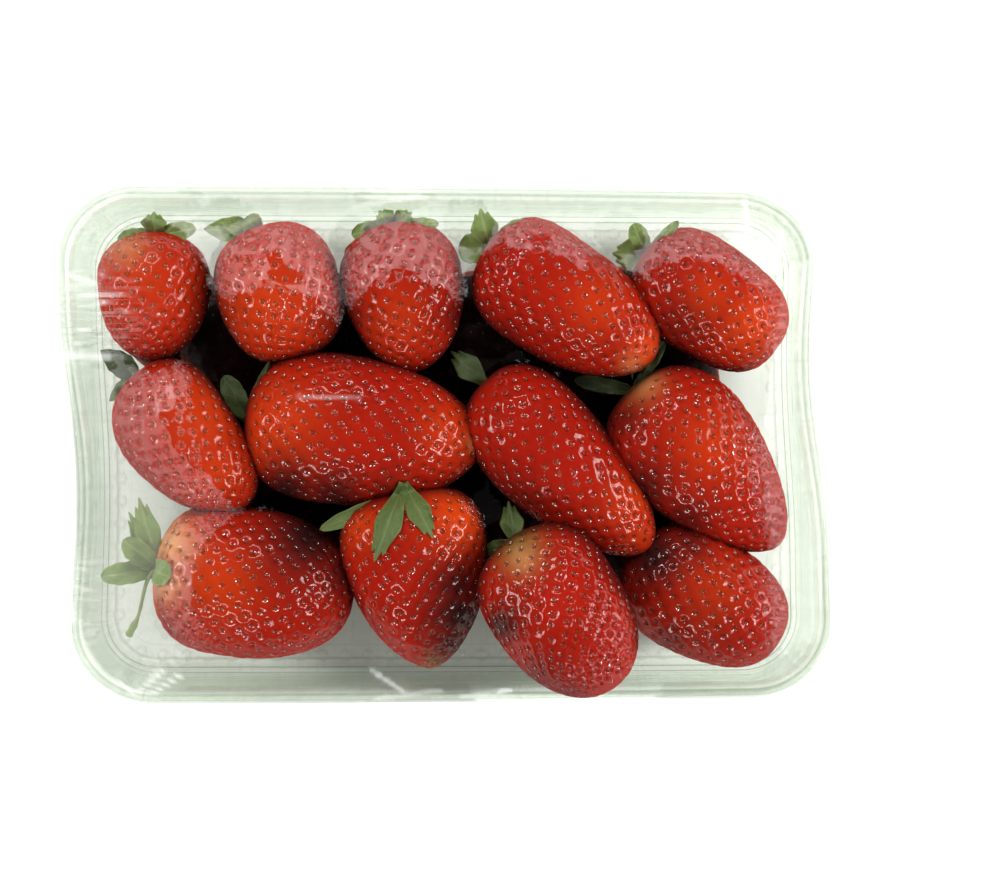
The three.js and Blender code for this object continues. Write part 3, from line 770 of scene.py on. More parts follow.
def seed_bodies(fruit, places, rng):
    """One small ellipsoid a seed, long way along the fruit, sitting in its pit."""
    seed_t, seed_turn, size = places
    count = len(seed_t)
    normal = fruit_normal(fruit, seed_t, seed_turn)
    place = fruit_point(fruit, seed_t, seed_turn)
    sunk = PIT_DEPTH * size * (1 + 0.5 * patch_weight(fruit, "web", place)) - 0.04
    centre = place - sunk[:, None] * normal
    further = fruit_point(fruit, np.minimum(seed_t + 0.01, 1), seed_turn)
    ahead = unit(further - fruit_point(fruit, seed_t - 0.01, seed_turn))
    across = np.cross(normal, ahead)
    rows, around = SEED_MESH
    angle = np.pi * np.arange(1, rows + 1) / (rows + 1)
    spin = 2 * np.pi * np.arange(around) / around
    ring = np.stack(
        [
            np.broadcast_to(-np.cos(angle)[:, None], (rows, around)),
            np.sin(angle)[:, None] * np.cos(spin)[None],
            np.sin(angle)[:, None] * np.sin(spin)[None],
        ],
        -1,
    ).reshape(-1, 3)
    shape = np.concatenate([ring, [[-1, 0, 0], [1, 0, 0]]]) * np.array(SEED_HALF)
    shape = shape[None] * (size * rng.uniform(0.75, 1.15, count))[:, None, None]
    points = (
        centre[:, None]
        + shape[..., :1] * ahead[:, None]
        + shape[..., 1:2] * across[:, None]
        + shape[..., 2:] * normal[:, None]
    )
    quads, tris = closed_tube(rows, around)
    per = len(shape[0])
    start = (np.arange(count) * per)[:, None, None]
    tone = np.clip(fruit["seed_tone"] + rng.normal(0, 0.15, count), 0, 1)
    # Painted shade: the seeds of the fruits underneath darken deep in the pack, and all seeds under the
    # patches of painted shade.
    deep = in_the_deep(centre) * (1 - facing_wall(centre, normal))
    shade = np.maximum(deep * fruit["under"], patch_weight(fruit, "deep", centre))
    return (
        points.reshape(-1, 3),
        (quads[None] + start).reshape(-1, 4),
        (tris[None] + start).reshape(-1, 3),
        {"tone": np.repeat(tone, per), "shade": np.repeat(shade, per)},
    )


# ---- leaves and the stalk -------------------------------------------------------------------

LEAF_THICKNESS = 0.35
LEAF_MESH = (30, 17)  # rows along a leaf and columns across it


def shell(top, under, values):
    """A thin closed leaf: the upper grid, the lower grid, and a band round their edge."""
    rows, columns = top.shape[:2]
    grid = np.arange(rows * columns).reshape(rows, columns)
    upper = grid_faces(grid)
    below = upper[:, ::-1] + rows * columns
    loop = np.concatenate([grid[0, :-1], grid[:-1, -1], grid[-1, :0:-1], grid[:0:-1, 0]])
    after = np.roll(loop, -1)
    band = np.stack([after, loop, loop + rows * columns, after + rows * columns], -1)
    points = np.concatenate([top.reshape(-1, 3), under.reshape(-1, 3)])
    doubled = {key: np.concatenate([value.ravel()] * 2) for key, value in values.items()}
    return points, np.concatenate([upper, below, band]), np.zeros((0, 3), int), doubled


def leaf_body(fruit, leaf, number):
    """A wavy leaf from the fruit's base to its own tip.

    Its half width is an oval of the way along, runs to one point where it has one tooth, or widens
    to an end with several. It arches, cups upwards at the edges and waves, or follows the skin.
    """
    x, y, lift, width, teeth, *shade = leaf
    s = np.linspace(0, 1, LEAF_MESH[0])[:, None]
    c = np.linspace(-1, 1, LEAF_MESH[1])[None]
    root = fruit["foot"] + (-1.5 if lift is None else 1.0) * fruit["along"]
    way = np.array([x - root[0], y - root[1]])
    reach = float(np.hypot(*way))
    way = way / reach
    across = np.array([-way[1], way[0]])
    if teeth > 1:
        half = width / 2 * (0.35 + 0.65 * smooth(0.0, 0.55, s)) * (1 - 0.25 * smooth(0.75, 1, s))
        notch = 0.15 * (1 - np.abs(np.cos(teeth * np.pi / 2 * c))) + 0.3 * c**2
        ahead = reach * s * (1 - notch * smooth(0.4, 1, s))
    else:
        from_middle = np.where(s < 0.58, (0.58 - s) / 0.64, (s - 0.58) / 0.42)
        half = width / 2 * (1 - np.minimum(from_middle, 0.998) ** 2.2) ** 0.55
        if teeth:
            half = width / 2 * np.maximum(np.sin(np.pi * s**0.85), 0.01) ** 0.85
        half = half * (1 + 0.04 * np.sin(26 * s + number))
        ahead = reach * s * (1 + 0 * c)
    side = half * c
    px = root[0] + way[0] * ahead + across[0] * side
    py = root[1] + way[1] * ahead + across[1] * side
    wave = 0.35 * np.sin(7 * s + 2.5 * c + number) + 0.25 * np.sin(11 * s - 3 * c + 2 * number)
    cup = 0.09 * half * c**2 - 0.12 * np.exp(-((c / 0.12) ** 2))
    if lift is None:
        skin = np.maximum(root[2] - 2, sample(heap_top, px, py))
        pz = skin + 0.35 + 0.5 * (cup + 0.5 * wave) + 0.3 * s
    else:
        pz = root[2] + lift * s + 2.5 * 4 * s * (1 - s) + cup + wave
    top = np.stack(np.broadcast_arrays(px, py, pz), -1)
    thick = LEAF_THICKNESS * (1 - 0.75 * np.abs(c) ** 3) * (1 - 0.7 * s**4)
    under = top - np.stack(np.broadcast_arrays(0, 0, thick), -1)
    spread = np.abs(np.sin(9 * (s - 0.35 * np.abs(c)) * np.pi / 2))
    side_veins = 0.6 * np.exp(-((spread / 0.16) ** 2)) * (np.abs(c) < 0.85)
    vein = np.maximum(np.exp(-((c / 0.1) ** 2)), side_veins)
    margin = np.maximum(smooth(0.8, 1, np.abs(c)), smooth(0.93, 1, s)) * np.ones_like(vein)
    # The leaf's shade is painted shade, the same all over it.
    values = {"vein": vein, "margin": margin, "painted_leaf_shade": np.full(vein.shape, shade[0] if shade else 0.0)}
    return shell(top, under, values)


STALK_RADIUS = 0.42
STALK_MESH = (36, 14)  # stations along the stalk and places round it
# In plan, and how much higher than the fruit's base.
STALK_POINTS = [
    (-70.5, -31, 0), (-73.6, -34.5, 1.5), (-75.0, -40, 0), (-76.4, -44, -2), (-78.2, -47.3, -4),
]


def stalk_body(fruit):
    """A tube along a smooth path through its points, thin, with a thicker uneven end."""
    given = np.array([(x, y, fruit["foot"][2] + z) for x, y, z in STALK_POINTS])
    rings, around = STALK_MESH
    share = np.linspace(0, 1, rings)
    knots = np.linspace(0, 1, len(given))
    path = np.stack([np.polyval(np.polyfit(knots, given[:, k], 4), share) for k in range(3)], -1)
    ahead = unit(np.gradient(path, axis=0))
    side = unit(np.cross(ahead, [0, 0, 1.0]))
    over = np.cross(side, ahead)
    spin = 2 * np.pi * np.arange(around) / around
    swell = 1 + 0.5 * (1 - share) ** 4 + 1.1 * smooth(0.66, 0.8, share)
    radius = STALK_RADIUS * (swell + 0.15 * np.sin(40 * share) * share)
    ring = radius[:, None, None] * (
        np.cos(spin)[None, :, None] * side[:, None] + np.sin(spin)[None, :, None] * over[:, None]
    )
    points = (path[:, None] + ring).reshape(-1, 3)
    points = np.concatenate([points, path[:1], path[-1:]])
    zeros = np.zeros(len(points))
    values = {"vein": zeros + 0.4, "margin": zeros + 0.2, "painted_leaf_shade": zeros}
    return points, *closed_tube(rings, around), values


# ---- heap -----------------------------------------------------------------------------------

rng = np.random.default_rng(11)
HEAP_STEP = 1.0
HEAP_BORDER = 12  # cells of the height map past the pack, both sides together
HEAP_COLUMNS = int(PACK_LENGTH / HEAP_STEP) + HEAP_BORDER
HEAP_ROWS = int(PACK_WIDTH / HEAP_STEP) + HEAP_BORDER
heap_top = np.zeros((HEAP_ROWS, HEAP_COLUMNS))


def heap_cell(x, y):
    return x / HEAP_STEP + (HEAP_COLUMNS - 1) / 2, y / HEAP_STEP + (HEAP_ROWS - 1) / 2


def note_height(points):
    """Keeps the highest point over each cell of the plan."""
    u, v = heap_cell(points[:, 0], points[:, 1])
    u = np.clip(np.rint(u).astype(int), 0, HEAP_COLUMNS - 1)
    v = np.clip(np.rint(v).astype(int), 0, HEAP_ROWS - 1)
    np.maximum.at(heap_top, (v, u), points[:, 2])


def sample(grid, x, y):
    """The grid's value at a place in plan, from its four nearest cells."""
    u, v = heap_cell(x, y)
    u = np.clip(u, 0, HEAP_COLUMNS - 1.001)
    v = np.clip(v, 0, HEAP_ROWS - 1.001)
    i, j = np.floor(u).astype(int), np.floor(v).astype(int)
    s, t = u - i, v - j
    low = grid[j, i] * (1 - s) + grid[j, i + 1] * s
    high = grid[j + 1, i] * (1 - s) + grid[j + 1, i + 1] * s
    return low * (1 - t) + high * t


made_for_heap = []
seed_parts = []
top_seeds = []  # in plan, with their size
laid_fruits = {name: lay(fruit, rng) for name, fruit in UPPER_LAYER.items()}
for name, fruit in laid_fruits.items():
    body, places = fruit_body(fruit, rng, *UPPER_MESH)
    note_height(body[0])
    on_top = fruit_normal(fruit, *places[:2])[:, 2] > 0.1
    in_plan = fruit_point(fruit, *places[:2])[:, :2]
    top_seeds.append(np.column_stack([in_plan, places[2]])[on_top])
    seed_parts.append(seed_bodies(fruit, places, rng))
    made_for_heap.append(new_piece("fruit_" + name, *body[:3], FRUIT_SKIN, body[3]))

lower_parts = []
for shape in LOWER_LAYER + WEDGED:
    fruit = dict(zip(("base", "tip", "width", "height"), shape), seed_tone=0.3, under=1.0)
    fruit = lay(fruit, rng)
    (*body, values), places = fruit_body(fruit, rng, *LOWER_MESH)
    lower_parts.append((*body, {key: values[key] for key in ("pit", "shade")}))
    seed_parts.append(seed_bodies(fruit, places, rng))
points, quads, tris, values = joined(lower_parts)
made_for_heap.append(new_piece("fruits_underneath", points, quads, tris, PAINTED_SHADE_SKIN, values))

leaf_parts = []
for fruit in laid_fruits.values():
    for leaf in fruit["leaves"]:
        leaf_parts.append(leaf_body(fruit, leaf, len(leaf_parts)))
leaf_parts.append(stalk_body(laid_fruits["front_left"]))
points, quads, tris, values = joined(leaf_parts)
made_for_heap.append(new_piece("leaves_and_stalk", points, quads, tris, LEAF_GREEN, values))
note_height(points)
points, quads, tris, values = joined(seed_parts)
made_for_heap.append(new_piece("seeds", points, quads, tris, SEED_COAT, values))

for piece in made_for_heap:
    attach(piece, "root")
    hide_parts("strawberries")

# ---- tray -----------------------------------------------------------------------------------

# (inset, height, how dark the painted shade along the bend is) from the underside, round the rim, to
# the floor.
TRAY_PROFILE = [
    (13, 1.6, 0), (11.6, 0.6, 0), (9.4, 0.6, 0.15), (8.2, 1.1, 0), (7.4, 2.5, 0), (6.8, 9.4, 0.1),
    (5.4, 10.8, 0.1), (3.6, 47, 0.1), (3.0, 48.8, 0), (2.4, 49.4, 0), (1.2, 49.4, 0.1), (1.2, 47, 0),
    (0.6, 47, 0.25), (0.6, 49.6, 0.1), (1.2, 50, 0.1), (2.1, 50, 0.55), (2.7, 50, 0), (3.5, 49.3, 0.15),
    (4.2, 47, 0.1), (6.0, 11.2, 0.6), (7.4, 9.8, 0.8), (8.0, 3.2, 0), (9.1, 1.7, 0.35), (9.7, 1.2, 0.1),
    (11.3, 1.2, 0), (12.7, 2.2, 0.1),
]
FLAT_INSETS = (52, 40, 28, 19)  # the rings of the flat middle, from the inside out
TRAY_STEPS = (196, 116, 36)  # round the outline: a long side, a short side and a corner
KNOB_INSET = 10.0
KNOB_PITCH = 5.8
KNOB_RADIUS = 1.4
KNOB_HEIGHT = 0.8
CORNER_CUT = 0.15
CORNER_HOLD = 0.4


def crisp(profile):
    """Cuts each corner of the profile a little way along its two sides, keeping how dark it is, and
    adds a plain point further along each side that holds the side flat."""
    line = np.array(profile, float)
    out = [line[:1]]
    for before, here, after in zip(line[:-2], line[1:-1], line[2:]):
        for end, order in ((before, (CORNER_HOLD, CORNER_CUT)), (after, (CORNER_CUT, CORNER_HOLD))):
            length = float(np.hypot(*(end - here)[:2]))
            for cut in order:
                if cut == CORNER_CUT or length > 2.5 * CORNER_HOLD:
                    place = here + (end - here) * min(cut / length, 0.4)
                    out.append([[*place[:2], here[2] if cut == CORNER_CUT else 0.0]])
    return np.concatenate([*out, line[-1:]])


def divided(line, longest_of):
    """The same line with long segments divided, each by its own greatest length."""
    out = [line[:1]]
    for first, second in zip(line[:-1], line[1:]):
        length = np.hypot(*(second - first)[:2])
        steps = max(1, int(np.ceil(length / longest_of((first + second) / 2))))
        out.append(first + (second - first) * (np.arange(1, steps + 1) / steps)[:, None])
    return np.concatenate(out)


def tray_step(place):
    near_knobs = abs(place[0] - KNOB_INSET) < 1.7 and place[1] < 3
    return 0.5 if near_knobs else 14.0


def make_tray():
    """Rings of the rounded profile, with small round knobs in a row along the foot."""
    underside = [(inset, 1.6, 0) for inset in FLAT_INSETS]
    floor = [(inset, FLOOR_TOP, 0) for inset in FLAT_INSETS[::-1]]
    line = divided(crisp(underside + TRAY_PROFILE + floor), tray_step)
    address = outline_address(*TRAY_STEPS)
    inset, z, bend = line[:, :1], line[:, 1:2], line[:, 2:]
    x, y = on_outline(address, inset, z)
    knob_x, knob_y = on_outline(address, KNOB_INSET, 1.0)
    run = np.hypot(np.diff(knob_x, append=knob_x[:1]), np.diff(knob_y, append=knob_y[:1]))
    at = np.concatenate([[0], np.cumsum(run)[:-1]])
    pitch = run.sum() / round(run.sum() / KNOB_PITCH)
    off = (at + pitch / 2) % pitch - pitch / 2
    far = (off[None] ** 2 + (inset - KNOB_INSET) ** 2) / KNOB_RADIUS**2
    knob = np.where(z < 3, KNOB_HEIGHT * np.clip(1 - far, 0, 1) ** 1.5, 0)
    z = z + knob + 0 * x
    points = np.stack([x, y, z], -1).reshape(-1, 3)
    hubs = [[x[k].mean(), y[k].mean(), z[k].mean()] for k in (0, -1)]
    points = np.concatenate([points, hubs])
    # Painted shade: a dark ring round the edge of each knob, like the dark bends.
    knob_edge = np.where(z < 3, 0.14 * np.exp(-(((np.sqrt(far) - 0.95) / 0.22) ** 2)), 0)
    bend = np.concatenate([np.maximum(bend, knob_edge).ravel(), [0, 0]])
    return new_piece("tray_shell", points, *closed_tube(*x.shape), TRAY_PLASTIC, {"bend": bend})


tray = make_tray()
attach(tray, "root")
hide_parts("tray")
tray.visible_shadow = False

# ---- film -----------------------------------------------------------------------------------

FILM_CLEARANCE = 0.35
FILM_RIM_Z = 50.6
FILM_GAUGE = 0.1
RELAX_SWEEPS = 500
RELAX_OVERSTEP = 1.9
LAST_SWEEPS = 5
FILM_TOP_INSET = 0.5
FILM_CORNER_ROWS = 20  # rows of the top's grid that end on one corner
FILM_SIDE_ROWS = 102  # and those that end on the straight part of a short side
FILM_COLUMNS = 196
# (inset, height) from the edge of the top down to the opening under the base.
FILM_SIDE = [
    (0.2, 50.45), (0.0, 50.0), (0.0, 48.8), (0.05, 47), (0.7, 42), (1.6, 34.5), (2.6, 26), (3.6, 17.5),
    (4.5, 9.8), (5.7, 4.6), (6.9, 1.3), (7.7, 0.45), (8.8, 0.08), (12, 0.06), (18, 0.06), (26, 0.06),
    (34, 0.06),
]

HIGH_FRUIT = (29, -42, 27)  # middle in plan and reach
HIGH_FALL = 1.0  # how steeply the sheet falls away from it
HIGH_SWEEPS = 24
RIDGE_HALF_WIDTH = 0.8

# Lines where the stretched film stands up between the fruits and the rim: two ends and a height.
FILM_RIDGES = [
    ((82, 40), (80, 27), 53.6), ((80, 27), (77.3, 5), 53.6), ((77.3, 5), (75.2, -9), 53.8),
    ((75.2, -9), (80, -24), 53.8), ((80, -24), (78.3, -36), 53.4), ((78.3, -36), (80, -50), 53.2),
]


def taut_sheet():
    """The height of a taut sheet held at the rim and pushed up by the heap: each free cell settles at
    the mean of its neighbours, but no lower than the heap under it."""
    rest = np.full(heap_top.shape, FILM_RIM_Z)
    floor = np.maximum(FILM_RIM_Z, heap_top + FILM_CLEARANCE)
    rows, columns = np.indices(heap_top.shape)
    x = (columns - (HEAP_COLUMNS - 1) / 2) * HEAP_STEP
    y = (rows - (HEAP_ROWS - 1) / 2) * HEAP_STEP
    for (x0, y0), (x1, y1), high in FILM_RIDGES:
        near = off_segment(x, y, x0, y0, x1, y1) < RIDGE_HALF_WIDTH
        floor = np.where(near, np.maximum(floor, high), floor)
    inside = (np.abs(x) < PACK_LENGTH / 2 - 1) & (np.abs(y) < PACK_WIDTH / 2 - 1)
    floor = np.where(inside, floor, FILM_RIM_Z)
    chequer = (rows + columns) % 2

    def settle(height, floor, sweeps, overstep):
        for colour in (0, 1) * sweeps:
            mean = sum(np.roll(height, step, axis) for step in (1, -1) for axis in (0, 1)) / 4
            moved = np.maximum(floor, height + overstep * (mean - height))
            height = np.where((chequer == colour) & inside, moved, height)
        return height

    # The highest fruit stands up through the rest of the sheet, which falls away steeply round it.
    near_high = np.hypot(x - HIGH_FRUIT[0], y - HIGH_FRUIT[1]) < HIGH_FRUIT[2]
    low_floor = np.where(near_high, FILM_RIM_Z, floor)
    height = settle(rest, low_floor, RELAX_SWEEPS, RELAX_OVERSTEP)
    peak = floor
    for step, axis in ((1, 0), (1, 1), (-1, 0), (-1, 1)) * HIGH_SWEEPS:
        peak = np.maximum(peak, np.roll(peak, step, axis) - HIGH_FALL * HEAP_STEP)
    height = np.where(near_high, np.maximum(height, peak), height)
    return settle(height, floor, LAST_SWEEPS, 1.0)


# Folds in the film: (x, y, direction in degrees, half length, half width, height, ripples).
FILM_FOLDS = [
    (-87, 30, 0, 9, 6, 0.22, 2.6),
    (-87, 22, 0, 7, 1.3, -0.5, 0),
    (-86, 1.2, -4, 8, 1.0, 0.35, 0),
    (-72, -59, 34, 9, 2.5, 0.3, 2.4),
    (-9, -60.5, 9, 14, 2.2, 0.2, 2.0),
    (-12, 59, 12, 14, 2.6, 0.15, 2.0),
    (74, 55, 89, 8, 1.6, 0.4, 2.4),
    (82, 48, 77, 8, 1.6, 0.4, 2.4),
    (-84, 52, 135, 9, 5, 0.22, 3.2),
    (84, -54, 135, 9, 5, 0.22, 3.2),
]

# Where the film clings to damp fruit: x, y, half length, half width and its direction in degrees.
CLINGING = [
    (-20, 2, 36, 21, -3), (30, -6, 32, 18, -45), (64, -5, 30, 21, -46), (-7, -34, 17, 26, 0),
    (30, -42, 31, 29, 0), (65, -38, 28, 20, -20), (-38, -35, 24, 20, -6), (-48.8, 5.4, 22, 12.5, -78),
    (-71, 36, 13.5, 18.5, 0), (-42, 24, 17, 14, 0), (-57, 25, 8, 13, 10),
    (-84.5, 21.5, 5, 3, -25), (-41.4, 45, 1.8, 2, 0), (-39, 41, 4.4, 2.4, -8),
    (-10, 26, 16, 13.3, 11), (25.9, 32.1, 23.5, 13, -33), (12, 31, 9, 10, 0), (23.6, 50, 3.2, 1, 5),
    (66, 29, 20, 14, -36), (62, 21, 36, 9, -40), (-71, 59, 14, 4, 0), (-54, 56.5, 7, 3.5, 10),
    (-24, 51.5, 3.5, 5, -30), (-12, 60, 9, 3.4, 0), (6, 53.5, 7, 6, -60), (43, 51.5, 6, 6, 40),
]


def cling_at(points):
    """1 in the middle of each clinging place, 0.5 on its edge and falling away outside, but 0 to the
    right of the line where the film stands up off the fruits."""
    total = np.zeros(len(points))
    for x, y, half_length, half_width, way in CLINGING:
        u, v = along_and_across(points[:, 0], points[:, 1], x, y, way)
        steep = max(min(half_length, half_width) / 9, 0.5)
        far = np.hypot(u / half_length, v / half_width)
        total = np.maximum(total, np.clip(0.5 + steep * (1 - far), 0, 1))
    ridge = np.array([FILM_RIDGES[0][0]] + [ends[1] for ends in FILM_RIDGES])
    lifts_at = np.interp(-points[:, 1], -ridge[:, 1], ridge[:, 0])
    return total * (1 - smooth(-2.5, 0, points[:, 0] - lifts_at))


CREASE_WIDTH = 0.95
CREASE_LENGTH = 22
RING_CLOSING = 0.9  # about the gap from the last point of the film's edge back to the first
# Where the creases gather, with their bumps and painted highlights: x, y, reach and strength.
CREASED_PLACES = [
    (-88, 31, 9, 1.0), (-91, -35, 9, 0.5), (-88, -46, 5, 0.6), (-76, -60, 7, 0.5), (-12, -61, 5, 0.2),
    (74, 55, 4, 0.4), (83, 48, 4, 0.5), (-84, 54, 9, 0.3), (84, -56, 6, 0.4),
]

# White lines where the film is folded double, partly painted highlight: two ends in plan, half width
# and strength.
FOLD_LINES = [
    (-94.5, 21.9, -82, 21.4, 1.0, 0.2), (-91.4, 41.2, -85.5, 39.2, 0.7, 0.2),
    (-74.2, -60.2, -68.9, -55.8, 0.6, 0.25), (-71.5, -61, -64.5, -56.5, 0.5, 0.25),
    (-73, -58.5, -70, -55.3, 0.5, 0.2), (-79.6, -58, -75.7, -61.4, 0.5, 0.2),
    (-92, -38.9, -91.2, -42.8, 1.0, 0.25), (73.6, 59.5, 74.1, 50.9, 0.5, 0.3),
    (82.7, 51.9, 80.7, 43.1, 0.5, 0.3), (-17.4, -55.6, -10, -60.5, 0.5, 0.2),
    (-17, -62.4, -1, -60.2, 0.5, 0.12), (4, -61.9, 16, -60.2, 0.5, 0.14),
    (13.5, -60.6, 16, -60.1, 0.5, 0.45), (-21.8, 58, -6, 60.7, 0.5, 0.12),
    (-36, 11.8, -20, 11, 0.4, 0.07),
]


def white_folds(points):
    """How white the fold lines are at each point, partly painted highlight, highest along the middle of
    each line.
    """
    total = np.zeros(len(points))
    for x0, y0, x1, y1, half_width, strength in FOLD_LINES:
        away = off_segment(points[:, 0], points[:, 1], x0, y0, x1, y1)
        total = np.maximum(total, strength * np.clip(1.4 - away / half_width, 0, 1))
    return np.where(points[:, 2] > 49, total, 0)


def over_seeds(points):
    """For each place in plan, its offset from the nearest seed and how far off that is, both for a
    seed of full size."""
    seeds = np.concatenate(top_seeds).astype(np.float32)
    offset = np.full((len(points), 3), 2.0)
    reach = np.full(len(points), 2.0)
    for part in np.array_split(np.flatnonzero(points[:, 2] > FILM_RIM_Z), 60):
        way = points[part, None, :2] - seeds[None, :, :2]
        far = (way**2).sum(-1)
        nearest = far.argmin(1)
        offset[part, :2] = way[np.arange(len(part)), nearest] / seeds[nearest, 2:]
        offset[part, 2] = 0
        reach[part] = np.sqrt(far.min(1)) / seeds[nearest, 2]
    return offset, reach


def fold_height(x, y):
    """The sum of the folds: a bell along and across each one, rippled across where it has ripples."""
    total = np.zeros(np.broadcast(x, y).shape)
    for fx, fy, way, half_length, half_width, high, ripple in FILM_FOLDS:
        u, v = along_and_across(x, y, fx, fy, way)
        bell = high * np.exp(-((u / half_length) ** 2) - (v / half_width) ** 2)
        total += bell * (np.cos(2 * np.pi * v / ripple + 0.4 * np.sin(u)) if ripple else 1)
    return total


def edge_distance(x, y):
    """How far inside the nearer straight edge of the pack a place in plan is."""
    return np.minimum(PACK_LENGTH / 2 - np.abs(x), PACK_WIDTH / 2 - np.abs(y))


def make_film():
    """The film's outer and inner faces: a grid over the top whose rows reach the outline, then rings
    down the side and under the base, closed along the opening."""
    sheet = taut_sheet()
    arc = np.linspace(0, np.pi / 2, FILM_CORNER_ROWS)
    corner, straight = np.ones(FILM_CORNER_ROWS), np.ones(FILM_SIDE_ROWS)
    between = np.linspace(-1, 1, FILM_SIDE_ROWS + 2)[1:-1]
    row_cy = np.concatenate([-corner, between, corner])
    row_nx = np.concatenate([np.cos(arc[::-1]), straight, np.cos(arc)])
    row_ny = np.concatenate([-np.sin(arc[::-1]), 0 * straight, np.sin(arc)])
    u = np.linspace(-1, 1, FILM_COLUMNS)
    rows, columns = len(row_cy), len(u)

    def face(offset):
        inset = FILM_TOP_INSET + offset
        a = PACK_LENGTH / 2 - inset
        b = PACK_WIDTH / 2 - inset
        r = CORNER_RADIUS - inset
        x = u[None] * ((a - r) + r * row_nx[:, None])
        y = (row_cy * (b - r) + r * row_ny)[:, None] + 0 * x
        x, y = drawn_in(x, y, a, RIM_HEIGHT)
        held = smooth(0.5, 4, edge_distance(x, y))
        z = sample(sheet, x, y) + held * fold_height(x, y) - offset
        top = np.stack([x, y, z], -1)
        one = np.ones(columns)
        sides = [
            np.array([np.ones(rows), row_cy, row_nx, row_ny]),
            np.array([u[::-1], one, 0 * one, one])[:, 1:],
            np.array([-np.ones(rows), row_cy[::-1], -row_nx[::-1], row_ny[::-1]])[:, 1:],
            np.array([u, -one, 0 * one, -one])[:, 1:-1],
        ]
        address = np.concatenate(sides, axis=1)
        side = np.array(FILM_SIDE)
        side_inset, side_z = side[:, :1], side[:, 1:]
        lower = side_z < 1
        sx, sy = on_outline(address, side_inset + np.where(lower, 0.6, 1.0) * offset, side_z)
        turn = np.arctan2(sy, sx)
        slack = 0.16 * smooth(49, 30, side_z) * smooth(0.5, 6, side_z)
        ripple = slack * (np.sin(90 * turn + side_z / 9) + np.sin(57 * turn - side_z / 6))
        length = np.hypot(sx, sy)
        sx, sy = sx * (1 + ripple / length), sy * (1 + ripple / length)
        sz = np.where(lower, side_z + offset, side_z) + 0 * sx
        return top.reshape(-1, 3), np.stack([sx, sy, sz], -1).reshape(-1, 3)

    grid = np.arange(rows * columns).reshape(rows, columns)
    boundary = np.concatenate([grid[:, -1], grid[-1, ::-1][1:], grid[::-1, 0][1:], grid[0, 1:-1]])
    around = len(boundary)
    here = np.arange(around)
    after = np.roll(here, -1)
    quads, points = [], []
    start = 0
    for offset in (0, FILM_GAUGE):
        top, side = face(offset)
        side_start = len(top)
        # The side runs downwards, so each quad goes back along the ring above.
        seam = np.stack([boundary, side_start + here, side_start + after, boundary[after]], -1)
        bands = strip_faces(len(FILM_SIDE), around, side_start)[:, ::-1]
        faces = np.concatenate([grid_faces(grid), seam, bands])
        if offset:
            faces = faces[:, ::-1]
        quads.append(faces + start)
        points += [top, side]
        start += len(top) + len(side)
    half = start // 2
    last, following = half - around + here, half - around + after
    lip = np.stack([last, last + half, following + half, following], -1)
    points = np.concatenate(points)
    near = edge_distance(points[:, 0], points[:, 1])
    ring = points[half - around * len(FILM_SIDE) :][:around, :2]
    run = np.concatenate([[0], np.cumsum(np.hypot(*np.diff(ring, axis=0).T))])
    # Each point's nearest place on the ring, found among every second one.
    nearest = [
        ((part[:, None, :2] - ring[None, ::2]) ** 2).sum(-1).argmin(1) * 2
        for part in np.array_split(points, 40)
    ]
    turn = 2 * np.pi * run[np.concatenate(nearest)] / (run[-1] + RING_CLOSING)
    circle = run[-1] / (2 * np.pi) / CREASE_WIDTH
    wrap = np.stack([circle * np.cos(turn), circle * np.sin(turn), near / CREASE_LENGTH], -1)
    crease_and_highlight = np.where(points[:, 2] < 49, 0.12, 0.02 * smooth(22, 5, near))
    for x, y, reach, strength in CREASED_PLACES:
        far = (points[:, 0] - x) ** 2 + (points[:, 1] - y) ** 2
        crease_and_highlight = np.maximum(crease_and_highlight, strength * np.exp(-far / reach**2))
    values = {"wrap": wrap, "crease_and_highlight": crease_and_highlight, "cling": cling_at(points), "fold_and_highlight": white_folds(points)}
    values["to_seed"], reach = over_seeds(points)
    values["far"] = reach - FAR_SLACK
    faces = np.concatenate([*quads, lip])
    return new_piece("film_sheet", points, faces, [], FILM_PLASTIC, values)


film = make_film()
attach(film, "root")
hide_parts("film")
film.visible_shadow = False

# ---- floor, light and camera ----------------------------------------------------------------

FLOOR_GLOW = 0.56
FLOOR_HALF = 2500
WORLD_GLOW = 0.045


